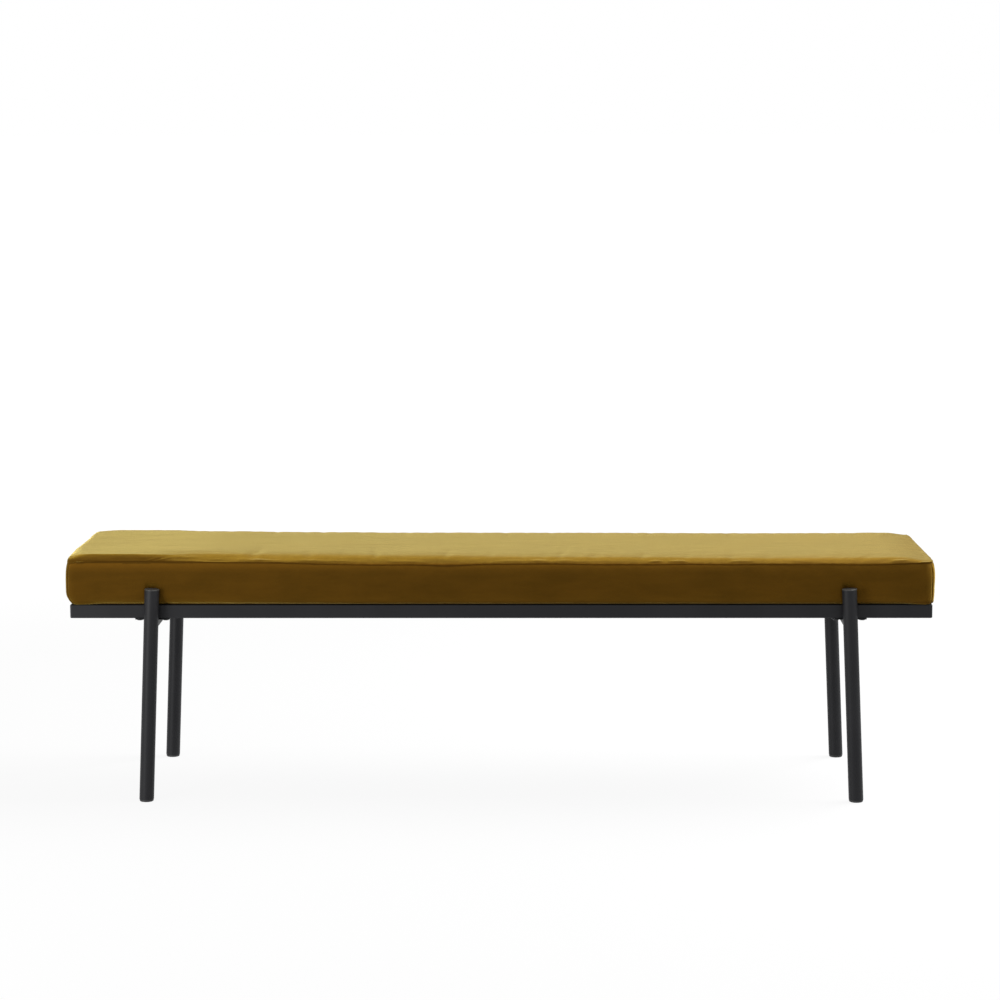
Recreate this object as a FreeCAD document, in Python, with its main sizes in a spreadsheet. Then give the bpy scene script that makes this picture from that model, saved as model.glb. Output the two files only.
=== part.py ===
import FreeCAD, Part
import math
import os
import re

import Sketcher

# Long upholstered bench: a velvet box cushion on a plywood board, held by a frame of square
# steel tube that stands on two leg frames of round tube. Millimetres, +X along the bench,
# +Y towards the back, +Z up. The origin is on the floor, under the middle of the bench.

SIZES = [
    ("frame_length", 1588, "outer length of the rail frame"),
    ("frame_depth", 350, "outer depth of the rail frame"),
    ("frame_base", 341, "height of the underside of the rails above the floor"),
    ("rail_size", 25, "width and height of the square rail tube"),
    ("rail_wall", 1.5, "wall of the rail tube"),
    ("rail_edge_round", 1.8, "outer edge radius of the rail tube"),
    ("frame_corner_round", 4, "radius of the upright outer corners of the rail frame"),
    ("cross_rail_size", 20, "width and height of the inner cross rails"),
    ("cross_rail_spacing", 400, "distance between neighbouring cross rails"),
    ("cross_rail_wall", 1.5, "wall of the cross rails"),
    ("cross_rail_edge_round", 1.8, "outer edge radius of the cross rails"),
    ("leg_diameter", 27, "outer diameter of the leg tube"),
    ("leg_wall", 2, "wall of the leg tube"),
    ("leg_splay", 2.5, "lean of each leg towards its end of the bench, in degrees"),
    ("leg_setback", 152.5, "from the end of the rail frame to the leg's axis, at the rail"),
    ("leg_rise", 30, "how far the leg tube stands above the rail frame"),
    ("cap_thickness", 2, "thickness of the cap on top of a leg"),
    ("cap_bevel", 0.8, "bevel round the top of that cap"),
    ("cap_plug_depth", 12, "depth of the cap's plug inside the leg tube"),
    ("glide_height", 4, "height of the foot glide below the leg tube"),
    ("glide_setback", 0.6, "how far the glide stays inside the tube's outline"),
    ("glide_bevel", 1, "bevel round the glide's lower edge"),
    ("glide_plug_depth", 16, "depth of the glide's plug inside the leg tube"),
    ("plug_clearance", 0.15, "radial clearance of the plugs inside the leg tube"),
    ("crossbar_width", 20, "width of the bar that joins a front and a back leg"),
    ("crossbar_height", 15, "height of that bar"),
    ("crossbar_wall", 1.5, "wall of that bar"),
    ("crossbar_edge_round", 1.8, "outer edge radius of that bar"),
    ("plate_length", 64, "length of a mounting plate, along the rail"),
    ("plate_width", 22, "width of a mounting plate, across the rail"),
    ("plate_thickness", 2, "thickness of a mounting plate"),
    ("plate_corner_round", 4, "corner radius of a mounting plate"),
    ("plate_setback", 1, "from the outer face of the rail to the mounting plate's edge"),
    ("leg_bolt_spacing", 48, "distance between the two bolts of a mounting plate"),
    ("bolt_diameter", 6, "thread diameter of all bolts"),
    ("bolt_hole_clearance", 0.6, "how much wider a bolt's hole is than the bolt"),
    ("thread_clearance", 0.2, "how much wider a nut's bore is than the bolt"),
    ("bolt_head_diameter", 12, "diameter of the low button head"),
    ("bolt_head_height", 2.4, "height of the low button head"),
    ("bolt_head_bevel", 0.9, "bevel round the low button head"),
    ("bolt_socket_radius", 2.2, "corner radius of the hexagon socket"),
    ("bolt_socket_depth", 1.6, "depth of the hexagon socket"),
    ("leg_bolt_length", 16, "length of a leg bolt under its head"),
    ("rivet_nut_diameter", 9, "body diameter of a rivet nut in the rail"),
    ("rivet_nut_length", 13, "body length of a rivet nut above its flange"),
    ("rivet_flange_diameter", 12, "flange diameter of a rivet nut"),
    ("rivet_flange_thickness", 0.8, "flange thickness of a rivet nut"),
    ("rivet_hole_clearance", 0.2, "how much wider the rail's hole is than the rivet nut"),
    ("board_thickness", 12, "thickness of the plywood seat board"),
    ("board_setback", 7, "from the outline of the rail frame to the board's edge"),
    ("board_corner_round", 8, "corner radius of the seat board"),
    ("seat_bolt_spread", 200, "distance between the two seat bolts of a cross rail"),
    ("seat_bolt_reach", 9, "how far a seat bolt reaches into the seat board"),
    ("tee_nut_diameter", 7.8, "barrel diameter of a T-nut"),
    ("tee_nut_length", 9, "barrel length of a T-nut"),
    ("tee_flange_diameter", 19, "flange diameter of a T-nut"),
    ("tee_flange_thickness", 1.3, "flange thickness of a T-nut"),
    ("tee_clearance", 0.2, "how much wider the board's hole is than the T-nut"),
    ("seam_height", 77, "from the top of the rail frame to the seam of the top panel"),
    ("crown_rise", 13, "how far the crown of the cushion stands above that seam"),
    ("crown_reach", 80, "how far in from the seam the crown is level"),
    ("side_swell", 7, "how far the cushion's sides swell past the rail frame"),
    ("seam_swell", 5.5, "how far the seam stands out past the rail frame"),
    ("lower_edge_tuck", 5, "how far the cushion's lower edge is drawn in from the rail frame"),
    ("lower_edge_roll", 16, "height over which the lower edge rolls out"),
    ("cushion_corner_round", 15, "radius of the cushion's upright corners"),
    ("cover_thickness", 1.2, "thickness of the velvet cover"),
    ("wadding_thickness", 5, "thickness of the wadding over the foam"),
    ("layer_clearance", 0.2, "clearance between the layers of the cushion"),
    ("leg_recess_clearance", 0.5, "clearance of the cushion round the top of a leg"),
    ("leg_recess_headroom", 2, "clearance of the cushion above the cap of a leg"),
    ("turn_under", 45, "width of the cover's edge that is turned under the board"),
    ("dust_cover_thickness", 0.5, "thickness of the dust cover"),
    ("dust_cover_setback", 31, "from the outline of the rail frame to the dust cover's edge"),
    ("dust_cover_corner_round", 10, "corner radius of the dust cover"),
    ("staple_setback", 38, "from the outline of the rail frame to the row of staples"),
    ("staple_crown", 10, "length of a staple's crown"),
    ("staple_wire", 1, "thickness of a staple's wire"),
    ("staple_leg", 8, "length of a staple's legs"),
    ("staple_pitch", 95, "greatest distance between neighbouring staples"),
]

# Heights and places that several pieces share, as expressions on the sheet's names.
FRAME_TOP = "(frame_base + rail_size)"
RAIL_LINE = "(frame_depth / 2 - rail_size / 2)"
LEG_TOP = "(frame_base + rail_size + leg_rise)"
LEG_LINE = "(frame_depth / 2 + leg_diameter / 2)"
LEG_BORE = "(leg_diameter - 2 * leg_wall)"
PLATE_TOP = "(frame_base - rivet_flange_thickness)"
PLATE_BASE = f"({PLATE_TOP} - plate_thickness)"
PLATE_LINE = "(frame_depth / 2 - plate_setback - plate_width / 2)"
CROSSBAR_BASE = f"({PLATE_BASE} - crossbar_height)"
CROSS_RAIL_TOP = f"({FRAME_TOP} - dust_cover_thickness)"
CROSS_RAIL_BASE = f"({CROSS_RAIL_TOP} - cross_rail_size)"
BOARD_BASE = f"({FRAME_TOP} + cover_thickness)"
BOARD_TOP = f"({BOARD_BASE} + board_thickness)"
SEAM_LEVEL = f"({FRAME_TOP} + seam_height)"
BOLT_HOLE = "(bolt_diameter + bolt_hole_clearance)"
NUT_BORE = "(bolt_diameter + thread_clearance)"

# How many level outlines carry the cushion's crown and its lower roll, each a quarter ellipse.
CROWN_STEPS = 6
ROLL_STEPS = 3
# How much of its swell a side has at the top of the lower roll.
ROLL_SHARE = 0.6
# How fast the corners of the crown round off, as a share of the distance from the seam.
CORNER_GROWTH = 0.6

SIDES = {"left": -1, "right": 1}
ROWS = {"front": -1, "back": 1}
# Runs a cutting tool through whatever it crosses.
THROUGH = 500

doc = FreeCAD.newDocument("upholstered_bench")
sheet = doc.addObject("Spreadsheet::Sheet", "Sizes")
for row, (alias, value, note) in enumerate(SIZES, start=1):
    sheet.set(f"A{row}", note)
    sheet.set(f"B{row}", str(value))
    sheet.setAlias(f"B{row}", alias)
doc.recompute()

pieces = []


def bind(thing, target, text):
    """Tie a property to an expression on the sheet's names."""
    named = re.sub(r"\b[a-z]+(?:_[a-z]+)+\b", lambda found: "Sizes." + found.group(0), str(text))
    thing.setExpression(target, named)


def place(thing, x, y, z, lean=None):
    """Put an object's origin at three expressions, leaning about +Y by a fourth."""
    if lean is not None:
        upright = FreeCAD.Rotation(FreeCAD.Vector(0, 1, 0), 1)
        thing.Placement = FreeCAD.Placement(FreeCAD.Vector(), upright)
        bind(thing, "Placement.Rotation.Angle", lean)
    bind(thing, "Placement.Base.x", x)
    bind(thing, "Placement.Base.y", y)
    bind(thing, "Placement.Base.z", z)


def box(name, length, depth, height, x=0, y=0, z=0):
    """A block with the middle of its underside at x, y and z."""
    block = doc.addObject("Part::Box", name)
    bind(block, "Length", length)
    bind(block, "Width", depth)
    bind(block, "Height", height)
    place(block, f"{x} - {length} / 2", f"{y} - {depth} / 2", z)
    return block


def rod(name, diameter, height, x, y, z, lean=None):
    """A round rod that starts at x, y and z."""
    cylinder = doc.addObject("Part::Cylinder", name)
    bind(cylinder, "Radius", f"{diameter} / 2")
    bind(cylinder, "Height", height)
    place(cylinder, x, y, z, lean)
    return cylinder


def taper(name, start, end, height, x, y, z, lean=None):
    """A cone frustum between two diameters, starting at x, y and z."""
    cone = doc.addObject("Part::Cone", name)
    bind(cone, "Radius1", f"{start} / 2")
    bind(cone, "Radius2", f"{end} / 2")
    bind(cone, "Height", height)
    place(cone, x, y, z, lean)
    return cone


def fuse(name, *parts):
    """One solid from several that overlap or touch."""
    whole = doc.addObject("Part::MultiFuse", name)
    whole.Shapes = list(parts)
    whole.Refine = True
    return whole


def group(name, parts):
    """Separate solids that share one node."""
    together = doc.addObject("Part::Compound", name)
    together.Links = list(parts)
    return together


def cut(name, base, tools):
    """A solid less one or more cutting tools."""
    rest = doc.addObject("Part::Cut", name)
    rest.Base = base
    rest.Tool = tools[0] if len(tools) == 1 else group(name + "_tools", tools)
    return rest


def common(name, base, tool):
    """What two solids share."""
    shared = doc.addObject("Part::Common", name)
    shared.Base = base
    shared.Tool = tool
    return shared


def keep(piece):
    """Count a finished sub-part: its label names its file."""
    pieces.append(piece)
    return piece


def new_body(name):
    """An empty body."""
    return doc.addObject("PartDesign::Body", name)


def sketch_on(body, plane, rise=0):
    """A sketch on one of the body's own planes, lifted off it by an expression."""
    sketch = body.newObject("Sketcher::SketchObject", body.Name + "_sketch")
    sketch.AttachmentSupport = [(next(f for f in body.Origin.OriginFeatures if f.Role == plane), "")]
    sketch.MapMode = "FlatFace"
    bind(sketch, "AttachmentOffset.Base.z", rise)
    return sketch


def bound_constraint(sketch, constraint, text):
    """Add a dimension to a sketch and tie it to an expression."""
    index = sketch.addConstraint(constraint)
    label = f"size{index}"
    sketch.renameConstraint(index, label)
    bind(sketch, "Constraints." + label, text)


def rectangle(sketch, across, up, corner=None):
    """Draw a rectangle about the sketch's origin, with rounded corners where a radius is given."""
    reach, rise, radius = 200, 80, 5
    turns = [(1, -1), (1, 1), (-1, 1), (-1, -1)]
    first = sketch.GeometryCount
    for place_in_turn, (right, above) in enumerate(turns):
        before = turns[place_in_turn - 1]
        start = FreeCAD.Vector(before[0] * reach, before[1] * rise, 0)
        end = FreeCAD.Vector(right * reach, above * rise, 0)
        along = (end - start).normalize() * (radius if corner else 0)
        sketch.addGeometry(Part.LineSegment(start + along, end - along), False)
    if corner:
        for quarter, (right, above) in enumerate(turns):
            middle = FreeCAD.Vector(right * (reach - radius), above * (rise - radius), 0)
            circle = Part.Circle(middle, FreeCAD.Vector(0, 0, 1), radius)
            turn = math.pi / 2
            sketch.addGeometry(Part.ArcOfCircle(circle, (quarter - 1) * turn, quarter * turn), False)
        for side in range(4):
            arc = first + 4 + side
            sketch.addConstraint(Sketcher.Constraint("Tangent", first + side, 2, arc, 1))
            sketch.addConstraint(Sketcher.Constraint("Tangent", arc, 2, first + (side + 1) % 4, 1))
            if side:
                sketch.addConstraint(Sketcher.Constraint("Equal", first + 4, arc))
        sketch.addConstraint(Sketcher.Constraint("Symmetric", first + 4, 3, first + 6, 3, -1, 1))
        bound_constraint(sketch, Sketcher.Constraint("Radius", first + 4, radius), corner)
    else:
        for side in range(4):
            after = first + (side + 1) % 4
            sketch.addConstraint(Sketcher.Constraint("Coincident", first + side, 2, after, 1))
        sketch.addConstraint(Sketcher.Constraint("Symmetric", first, 1, first + 2, 1, -1, 1))
    for side, direction in enumerate(("Horizontal", "Vertical", "Horizontal", "Vertical")):
        sketch.addConstraint(Sketcher.Constraint(direction, first + side))
    across_points = (first + 3, 1, first + 1, 1)
    up_points = (first, 1, first + 2, 1)
    bound_constraint(sketch, Sketcher.Constraint("DistanceX", *across_points, 2 * reach), across)
    bound_constraint(sketch, Sketcher.Constraint("DistanceY", *up_points, 2 * rise), up)


def pad(body, sketch, height, both_ways=False):
    """Raise a sketch to a height, or by half of it each way."""
    solid = body.newObject("PartDesign::Pad", body.Name + "_pad")
    solid.Profile = sketch
    if both_ways:
        solid.SideType = "Symmetric"
    bind(solid, "Length", height)
    return solid


def sheet_piece(name, length, depth, corner, thickness, x=0, y=0, z=0):
    """A flat piece with rounded corners."""
    body = new_body(name)
    sketch = sketch_on(body, "XY_Plane")
    rectangle(sketch, length, depth, corner)
    pad(body, sketch, thickness)
    place(body, x, y, z)
    return body


def square_tube(name, width, height, wall, corner, length, x, z):
    """A straight tube along +Y, with the middle of its underside at x and z."""
    body = new_body(name)
    sketch = sketch_on(body, "XZ_Plane")
    rectangle(sketch, width, height, corner)
    rectangle(sketch, f"{width} - 2 * {wall}", f"{height} - 2 * {wall}")
    pad(body, sketch, length, both_ways=True)
    place(body, x, 0, f"{z} + {height} / 2")
    return body


def sector(name, half_length, half_depth, turn):
    """The mitred quarter of the plan that faces one side of the bench, cut at 45 degrees."""
    quarter = doc.addObject("Part::Wedge", name)
    bind(quarter, "Xmin", f"-{half_length} - {THROUGH}")
    bind(quarter, "Xmax", f"{half_length} + {THROUGH}")
    bind(quarter, "Ymin", f"-{half_depth} - {THROUGH}")
    inner = f"{half_length} - {half_depth}" if turn % 180 == 0 else 0
    bind(quarter, "X2min", f"-({inner})")
    bind(quarter, "X2max", inner)
    bind(quarter, "Ymax", 0 if turn % 180 == 0 else f"-({half_depth} - {half_length})")
    for low, high in (("Zmin", "Zmax"), ("Z2min", "Z2max")):
        bind(quarter, low, 0)
        bind(quarter, high, f"{SEAM_LEVEL} + {THROUGH}")
    quarter.Placement.Rotation = FreeCAD.Rotation(FreeCAD.Vector(0, 0, 1), turn)
    return quarter


def leg_x(side, height):
    """Where a leg's axis is at a height, on the left or the right of the bench."""
    drop = f"(frame_base + rail_size / 2 - {height})"
    return f"{side} * (frame_length / 2 - leg_setback + {drop} * tan(leg_splay))"


def make_sectors():
    """The four mitred quarters, which share out the rail frame and the cushion's cover."""
    length, depth = "frame_length / 2", "frame_depth / 2"
    return {
        "front": sector("front_sector", length, depth, 0),
        "back": sector("back_sector", length, depth, 180),
        "left": sector("left_sector", depth, length, 270),
        "right": sector("right_sector", depth, length, 90),
    }


def make_rails(sectors):
    """The mitred square-tube frame, with holes for the rivet nuts under its long rails."""
    ring = new_body("frame_ring")
    outline = sketch_on(ring, "XY_Plane")
    rectangle(outline, "frame_length", "frame_depth", "frame_corner_round")
    rectangle(outline, "frame_length - 2 * rail_size", "frame_depth - 2 * rail_size")
    blank = pad(ring, outline, "rail_size")
    doc.recompute()
    level_edges = [
        f"Edge{index}"
        for index, edge in enumerate(blank.Shape.Edges, start=1)
        if edge.BoundBox.ZLength < 0.001
    ]
    rounding = ring.newObject("PartDesign::Fillet", "frame_ring_edges")
    rounding.Base = (blank, level_edges)
    bind(rounding, "Radius", "rail_edge_round")
    place(ring, 0, 0, "frame_base")

    bore = new_body("frame_bore")
    hollow = sketch_on(bore, "XY_Plane")
    rectangle(hollow, "frame_length - 2 * rail_wall", "frame_depth - 2 * rail_wall")
    inner = "- 2 * rail_size + 2 * rail_wall"
    rectangle(hollow, "frame_length " + inner, "frame_depth " + inner)
    pad(bore, hollow, "rail_size - 2 * rail_wall")
    place(bore, 0, 0, "frame_base + rail_wall")
    tube = cut("frame_tube", ring, [bore])

    for side in SIDES:
        keep(common(f"rail_{side}", tube, sectors[side]))
    for row, back in ROWS.items():
        blank = common(f"rail_{row}_blank", tube, sectors[row])
        hole = "(rivet_nut_diameter + rivet_hole_clearance)"
        holes = [
            rod(
                f"rail_{row}_hole", hole, "2 * rail_wall",
                x, f"{back} * {RAIL_LINE}", "frame_base - rail_wall / 2",
            )
            for x in leg_bolt_places()
        ]
        keep(cut(f"rail_{row}", blank, holes))


def leg_bolt_places():
    """The places along a rail of its four leg bolts."""
    return [
        f"{leg_x(side, PLATE_TOP)} + {end} * leg_bolt_spacing / 2"
        for side in SIDES.values()
        for end in (-1, 1)
    ]


def seat_bolt_places():
    """The places of the seat bolts, two on each cross rail."""
    return [
        (f"{step} * cross_rail_spacing", f"{back} * seat_bolt_spread / 2")
        for step in (-1, 0, 1)
        for back in (-1, 1)
    ]


def make_cross_rails():
    """Three inner tubes that carry the board and hold it with two bolts each."""
    for name, step in (("left", -1), ("middle", 0), ("right", 1)):
        tube = square_tube(
            f"cross_rail_{name}_tube", "cross_rail_size", "cross_rail_size", "cross_rail_wall",
            "cross_rail_edge_round", "frame_depth - 2 * rail_size",
            f"{step} * cross_rail_spacing", CROSS_RAIL_BASE,
        )
        holes = [
            rod(
                f"cross_rail_{name}_hole", BOLT_HOLE, "cross_rail_size + 2",
                f"{step} * cross_rail_spacing", f"{back} * seat_bolt_spread / 2",
                f"{CROSS_RAIL_BASE} - 1",
            )
            for back in (-1, 1)
        ]
        keep(cut(f"cross_rail_{name}", tube, holes))


def make_leg(name, side, row, above_glides):
    """One leaning leg tube with its top cap and its foot glide."""
    y = f"{row} * {LEG_LINE}"
    down, up = f"180 - {side} * leg_splay", f"-{side} * leg_splay"
    blank_length = f"{LEG_TOP} / cos(leg_splay) + leg_diameter"
    top = (leg_x(side, LEG_TOP), y, LEG_TOP)
    outside = rod(f"leg_{name}_outside", "leg_diameter", blank_length, *top, down)
    inside = rod(f"leg_{name}_inside", LEG_BORE, blank_length, *top, down)
    keep(common(f"leg_{name}", cut(f"leg_{name}_tube", outside, [inside]), above_glides))

    plug = f"({LEG_BORE} - 2 * plug_clearance)"
    disc = rod(f"leg_cap_{name}_disc", "leg_diameter", "cap_thickness - cap_bevel", *top, up)
    rim_height = f"{LEG_TOP} + (cap_thickness - cap_bevel) * cos(leg_splay)"
    rim = taper(
        f"leg_cap_{name}_rim", "leg_diameter", "(leg_diameter - 2 * cap_bevel)", "cap_bevel",
        leg_x(side, rim_height), y, rim_height, up,
    )
    stem = rod(f"leg_cap_{name}_plug", plug, "cap_plug_depth", *top, down)
    keep(fuse(f"leg_cap_{name}", disc, rim, stem))

    foot = leg_x(side, "glide_height")
    puck = "(leg_diameter - 2 * glide_setback)"
    sole = f"({puck} - 2 * glide_bevel)"
    bevel = taper(f"foot_glide_{name}_bevel", sole, puck, "glide_bevel", foot, y, 0)
    body = rod(f"foot_glide_{name}_puck", puck, "glide_height - glide_bevel", foot, y, "glide_bevel")
    start = "(glide_height / 2)"
    stem = rod(
        f"foot_glide_{name}_plug", plug, "glide_height / 2 + glide_plug_depth",
        leg_x(side, start), y, start, up,
    )
    keep(fuse(f"foot_glide_{name}", bevel, body, stem))


def make_leg_frames():
    """Two leg frames: two legs, the bar between them and a mounting plate by each leg."""
    above_glides = box(
        "above_glides", "(frame_length + 2 * frame_base)", "(frame_depth + 4 * leg_diameter)",
        f"({LEG_TOP} + leg_diameter)", 0, 0, "glide_height",
    )
    for side_name, side in SIDES.items():
        for row_name, row in ROWS.items():
            make_leg(f"{row_name}_{side_name}", side, row, above_glides)
            make_plate(f"{row_name}_{side_name}", side, row)
        middle = leg_x(side, f"({CROSSBAR_BASE} + crossbar_height / 2)")
        bar = square_tube(
            f"leg_crossbar_{side_name}_tube", "crossbar_width", "crossbar_height", "crossbar_wall",
            "crossbar_edge_round", f"2 * {LEG_LINE}", middle, CROSSBAR_BASE,
        )
        legs = [doc.getObject(f"leg_{row_name}_{side_name}_outside") for row_name in ROWS]
        keep(cut(f"leg_crossbar_{side_name}", bar, legs))


def make_plate(name, side, row):
    """The plate that joins a leg frame to a rail with two bolts."""
    x, y = leg_x(side, PLATE_TOP), f"{row} * {PLATE_LINE}"
    plate = sheet_piece(
        f"mounting_plate_{name}_blank", "plate_length", "plate_width", "plate_corner_round",
        "plate_thickness", x, y, PLATE_BASE,
    )
    holes = [
        rod(
            f"mounting_plate_{name}_hole", BOLT_HOLE, "2 * plate_thickness",
            f"{x} + {end} * leg_bolt_spacing / 2", f"{row} * {RAIL_LINE}",
            f"{PLATE_BASE} - plate_thickness / 2",
        )
        for end in (-1, 1)
    ]
    keep(cut(f"mounting_plate_{name}", plate, holes))


def bolt(name, length, x, y, z):
    """A low button-head bolt that points up, with the underside of its head's rim at z."""
    edge = "(bolt_head_diameter - 2 * bolt_head_bevel)"
    bevel = taper(
        name + "_bevel", edge, "bolt_head_diameter", "bolt_head_bevel",
        x, y, f"{z} - bolt_head_height",
    )
    head = rod(
        name + "_head", "bolt_head_diameter", "bolt_head_height - bolt_head_bevel",
        x, y, f"{z} - bolt_head_height + bolt_head_bevel",
    )
    shank = rod(name + "_shank", "bolt_diameter", length, x, y, z)
    socket = doc.addObject("Part::Prism", name + "_socket")
    socket.Polygon = 6
    bind(socket, "Circumradius", "bolt_socket_radius")
    bind(socket, "Height", "bolt_socket_depth")
    place(socket, x, y, f"{z} - bolt_head_height")
    return cut(name, fuse(name + "_blank", bevel, head, shank), [socket])


def make_leg_fasteners():
    """Bolts up through the mounting plates, each in a rivet nut in the rail."""
    bolts, nuts = [], []
    for row_name, row in ROWS.items():
        y = f"{row} * {RAIL_LINE}"
        for x in leg_bolt_places():
            bolts.append(bolt(f"leg_bolt_{row_name}", "leg_bolt_length", x, y, PLATE_BASE))
            flange = rod(
                "rivet_nut_flange", "rivet_flange_diameter", "rivet_flange_thickness",
                x, y, PLATE_TOP,
            )
            barrel = rod(
                "rivet_nut_barrel", "rivet_nut_diameter", "rivet_nut_length",
                x, y, "frame_base",
            )
            reach = "rivet_nut_length + 2 * rivet_flange_thickness"
            bore = rod("rivet_nut_bore", NUT_BORE, reach, x, y, PLATE_TOP)
            nuts.append(cut(f"rivet_nut_{row_name}", fuse("rivet_nut_blank", flange, barrel), [bore]))
    keep(group("leg_bolts", bolts))
    keep(group("rivet_nuts", nuts))


def make_seat_fasteners():
    """Bolts up through the cross rails, each in a T-nut sunk into the top of the board."""
    bolts, nuts = [], []
    flange_base = f"({BOARD_TOP} - tee_flange_thickness)"
    for x, y in seat_bolt_places():
        length = f"{BOARD_BASE} + seat_bolt_reach - {CROSS_RAIL_BASE}"
        bolts.append(bolt("seat_bolt", length, x, y, CROSS_RAIL_BASE))
        flange = rod("tee_nut_flange", "tee_flange_diameter", "tee_flange_thickness", x, y, flange_base)
        barrel = rod(
            "tee_nut_barrel", "tee_nut_diameter", "tee_nut_length - tee_flange_thickness",
            x, y, f"{BOARD_TOP} - tee_nut_length",
        )
        bore = rod(
            "tee_nut_bore", NUT_BORE, "2 * tee_nut_length",
            x, y, f"{BOARD_TOP} - 1.5 * tee_nut_length",
        )
        nuts.append(cut("tee_nut", fuse("tee_nut_blank", flange, barrel), [bore]))
    keep(group("seat_bolts", bolts))
    keep(group("tee_nuts", nuts))


def make_staples():
    """U-shaped staples round the edge of the dust cover, evenly spaced along each side."""
    crown, wire, leg = sheet.staple_crown, sheet.staple_wire, sheet.staple_leg
    half_length = sheet.frame_length / 2 - sheet.staple_setback
    half_depth = sheet.frame_depth / 2 - sheet.staple_setback
    under = sheet.frame_base + sheet.rail_size - sheet.dust_cover_thickness - wire

    def staple(x, y, turn):
        """One staple, its crown below the dust cover and its legs up into the board."""
        bar = Part.makeBox(crown, wire, wire, FreeCAD.Vector(-crown / 2, -wire / 2, 0))
        legs = [
            Part.makeBox(wire, wire, leg + wire, FreeCAD.Vector(start, -wire / 2, 0))
            for start in (-crown / 2, crown / 2 - wire)
        ]
        solid = bar.multiFuse(legs).removeSplitter()
        solid.rotate(FreeCAD.Vector(), FreeCAD.Vector(0, 0, 1), turn)
        solid.translate(FreeCAD.Vector(x, y, under))
        return solid.Solids[0]

    def stations(half):
        """Places along a side, no further apart than the greatest pitch."""
        reach = half - crown
        steps = math.ceil(2 * reach / sheet.staple_pitch)
        return [-reach + 2 * reach * step / steps for step in range(steps + 1)]

    solids = [staple(x, row * half_depth, 0) for row in (-1, 1) for x in stations(half_length)]
    solids += [staple(side * half_length, y, 90) for side in (-1, 1) for y in stations(half_depth)]
    staples = doc.addObject("Part::Feature", "staples")
    staples.Shape = Part.makeCompound(solids)
    return keep(staples)


def make_board(staples):
    """The plywood board, with holes for the T-nuts and the staples' legs."""
    setback = "2 * board_setback"
    blank = sheet_piece(
        "seat_board_blank", f"frame_length - {setback}", f"frame_depth - {setback}",
        "board_corner_round", "board_thickness", 0, 0, BOARD_BASE,
    )
    seats = []
    for x, y in seat_bolt_places():
        depth = "(tee_flange_thickness + tee_clearance / 2)"
        barrel, flange = "(tee_nut_diameter + tee_clearance)", "(tee_flange_diameter + tee_clearance)"
        seats.append(rod(
            "tee_nut_hole", barrel, "2 * board_thickness",
            x, y, f"{BOARD_BASE} - board_thickness / 2",
        ))
        seats.append(rod("tee_nut_sink", flange, f"2 * {depth}", x, y, f"{BOARD_TOP} - {depth}"))
    return keep(cut("seat_board", blank, seats + [staples]))


def make_dust_cover(staples):
    """The thin cloth that closes the underside of the seat."""
    setback = "2 * dust_cover_setback"
    blank = sheet_piece(
        "dust_cover_blank", f"frame_length - {setback}", f"frame_depth - {setback}",
        "dust_cover_corner_round", "dust_cover_thickness", 0, 0, CROSS_RAIL_TOP,
    )
    holes = [
        rod(
            "dust_cover_hole", BOLT_HOLE, "4 * dust_cover_thickness",
            x, y, f"{CROSS_RAIL_TOP} - dust_cover_thickness",
        )
        for x, y in seat_bolt_places()
    ]
    keep(cut("dust_cover", blank, holes + [staples]))


def cushion_sections(skin, base, from_board):
    """The level outlines of the cushion: height, how far past the frame, corner radius."""
    corner = "cushion_corner_round"
    roll_top = f"({FRAME_TOP} + lower_edge_roll)"
    roll_swell = f"side_swell * {ROLL_SHARE}"
    middle = f"({FRAME_TOP} + seam_height / 2)"
    sides = [(base, roll_swell, corner)] if from_board else []
    for step in range(0 if from_board else ROLL_STEPS + 1):
        turn = math.pi / 2 * step / ROLL_STEPS
        height = f"{FRAME_TOP} + lower_edge_roll * {1 - math.cos(turn):.4f}" if step else base
        swell = f"-lower_edge_tuck + (lower_edge_tuck + {roll_swell}) * {math.sin(turn):.4f}"
        sides.append((height, swell, corner))
    sides += [
        (f"({roll_top} + {middle}) / 2", f"(3 * side_swell + {roll_swell}) / 4", corner),
        (middle, "side_swell", corner),
        (f"({middle} + {SEAM_LEVEL}) / 2", "(3 * side_swell + seam_swell) / 4", corner),
        (SEAM_LEVEL, "seam_swell", corner),
    ]
    crown = []
    for step in range(1, CROWN_STEPS + 1):
        turn = math.pi / 2 * step / CROWN_STEPS
        reach = f"crown_reach * {1 - math.cos(turn):.4f}"
        height = f"{SEAM_LEVEL} + crown_rise * {math.sin(turn):.4f} - {skin}"
        crown.append((height, f"seam_swell - {reach}", f"{corner} + {CORNER_GROWTH} * {reach}"))
    return sides, crown


def cushion_form(name, skin, base, from_board=False):
    """The whole cushion's form, held in from its outside by a skin, less the legs' recesses."""
    sides, crown = cushion_sections(skin, base, from_board)
    body = new_body(name + "_body")

    def outline(section):
        """A level outline of the cushion."""
        height, swell, corner = section
        sketch = sketch_on(body, "XY_Plane", height)
        length = f"frame_length + 2 * ({swell} - {skin})"
        depth = f"frame_depth + 2 * ({swell} - {skin})"
        rectangle(sketch, length, depth, f"{corner} - {skin}")
        return sketch

    outlines = [outline(section) for section in sides + crown]
    loft = body.newObject("PartDesign::AdditiveLoft", name + "_loft")
    loft.Profile = outlines[0]
    loft.Sections = outlines[1:]
    loft.Ruled = True
    recesses = [
        rod(
            f"{name}_recess", f"(leg_diameter + 2 * leg_recess_clearance + 2 * {skin})",
            f"{LEG_TOP} - frame_base + cap_thickness + leg_recess_headroom + {skin}",
            leg_x(side, "frame_base"), f"{row} * {LEG_LINE}", "frame_base", f"-{side} * leg_splay",
        )
        for side in SIDES.values()
        for row in ROWS.values()
    ]
    return cut(name, body, recesses)


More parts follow.
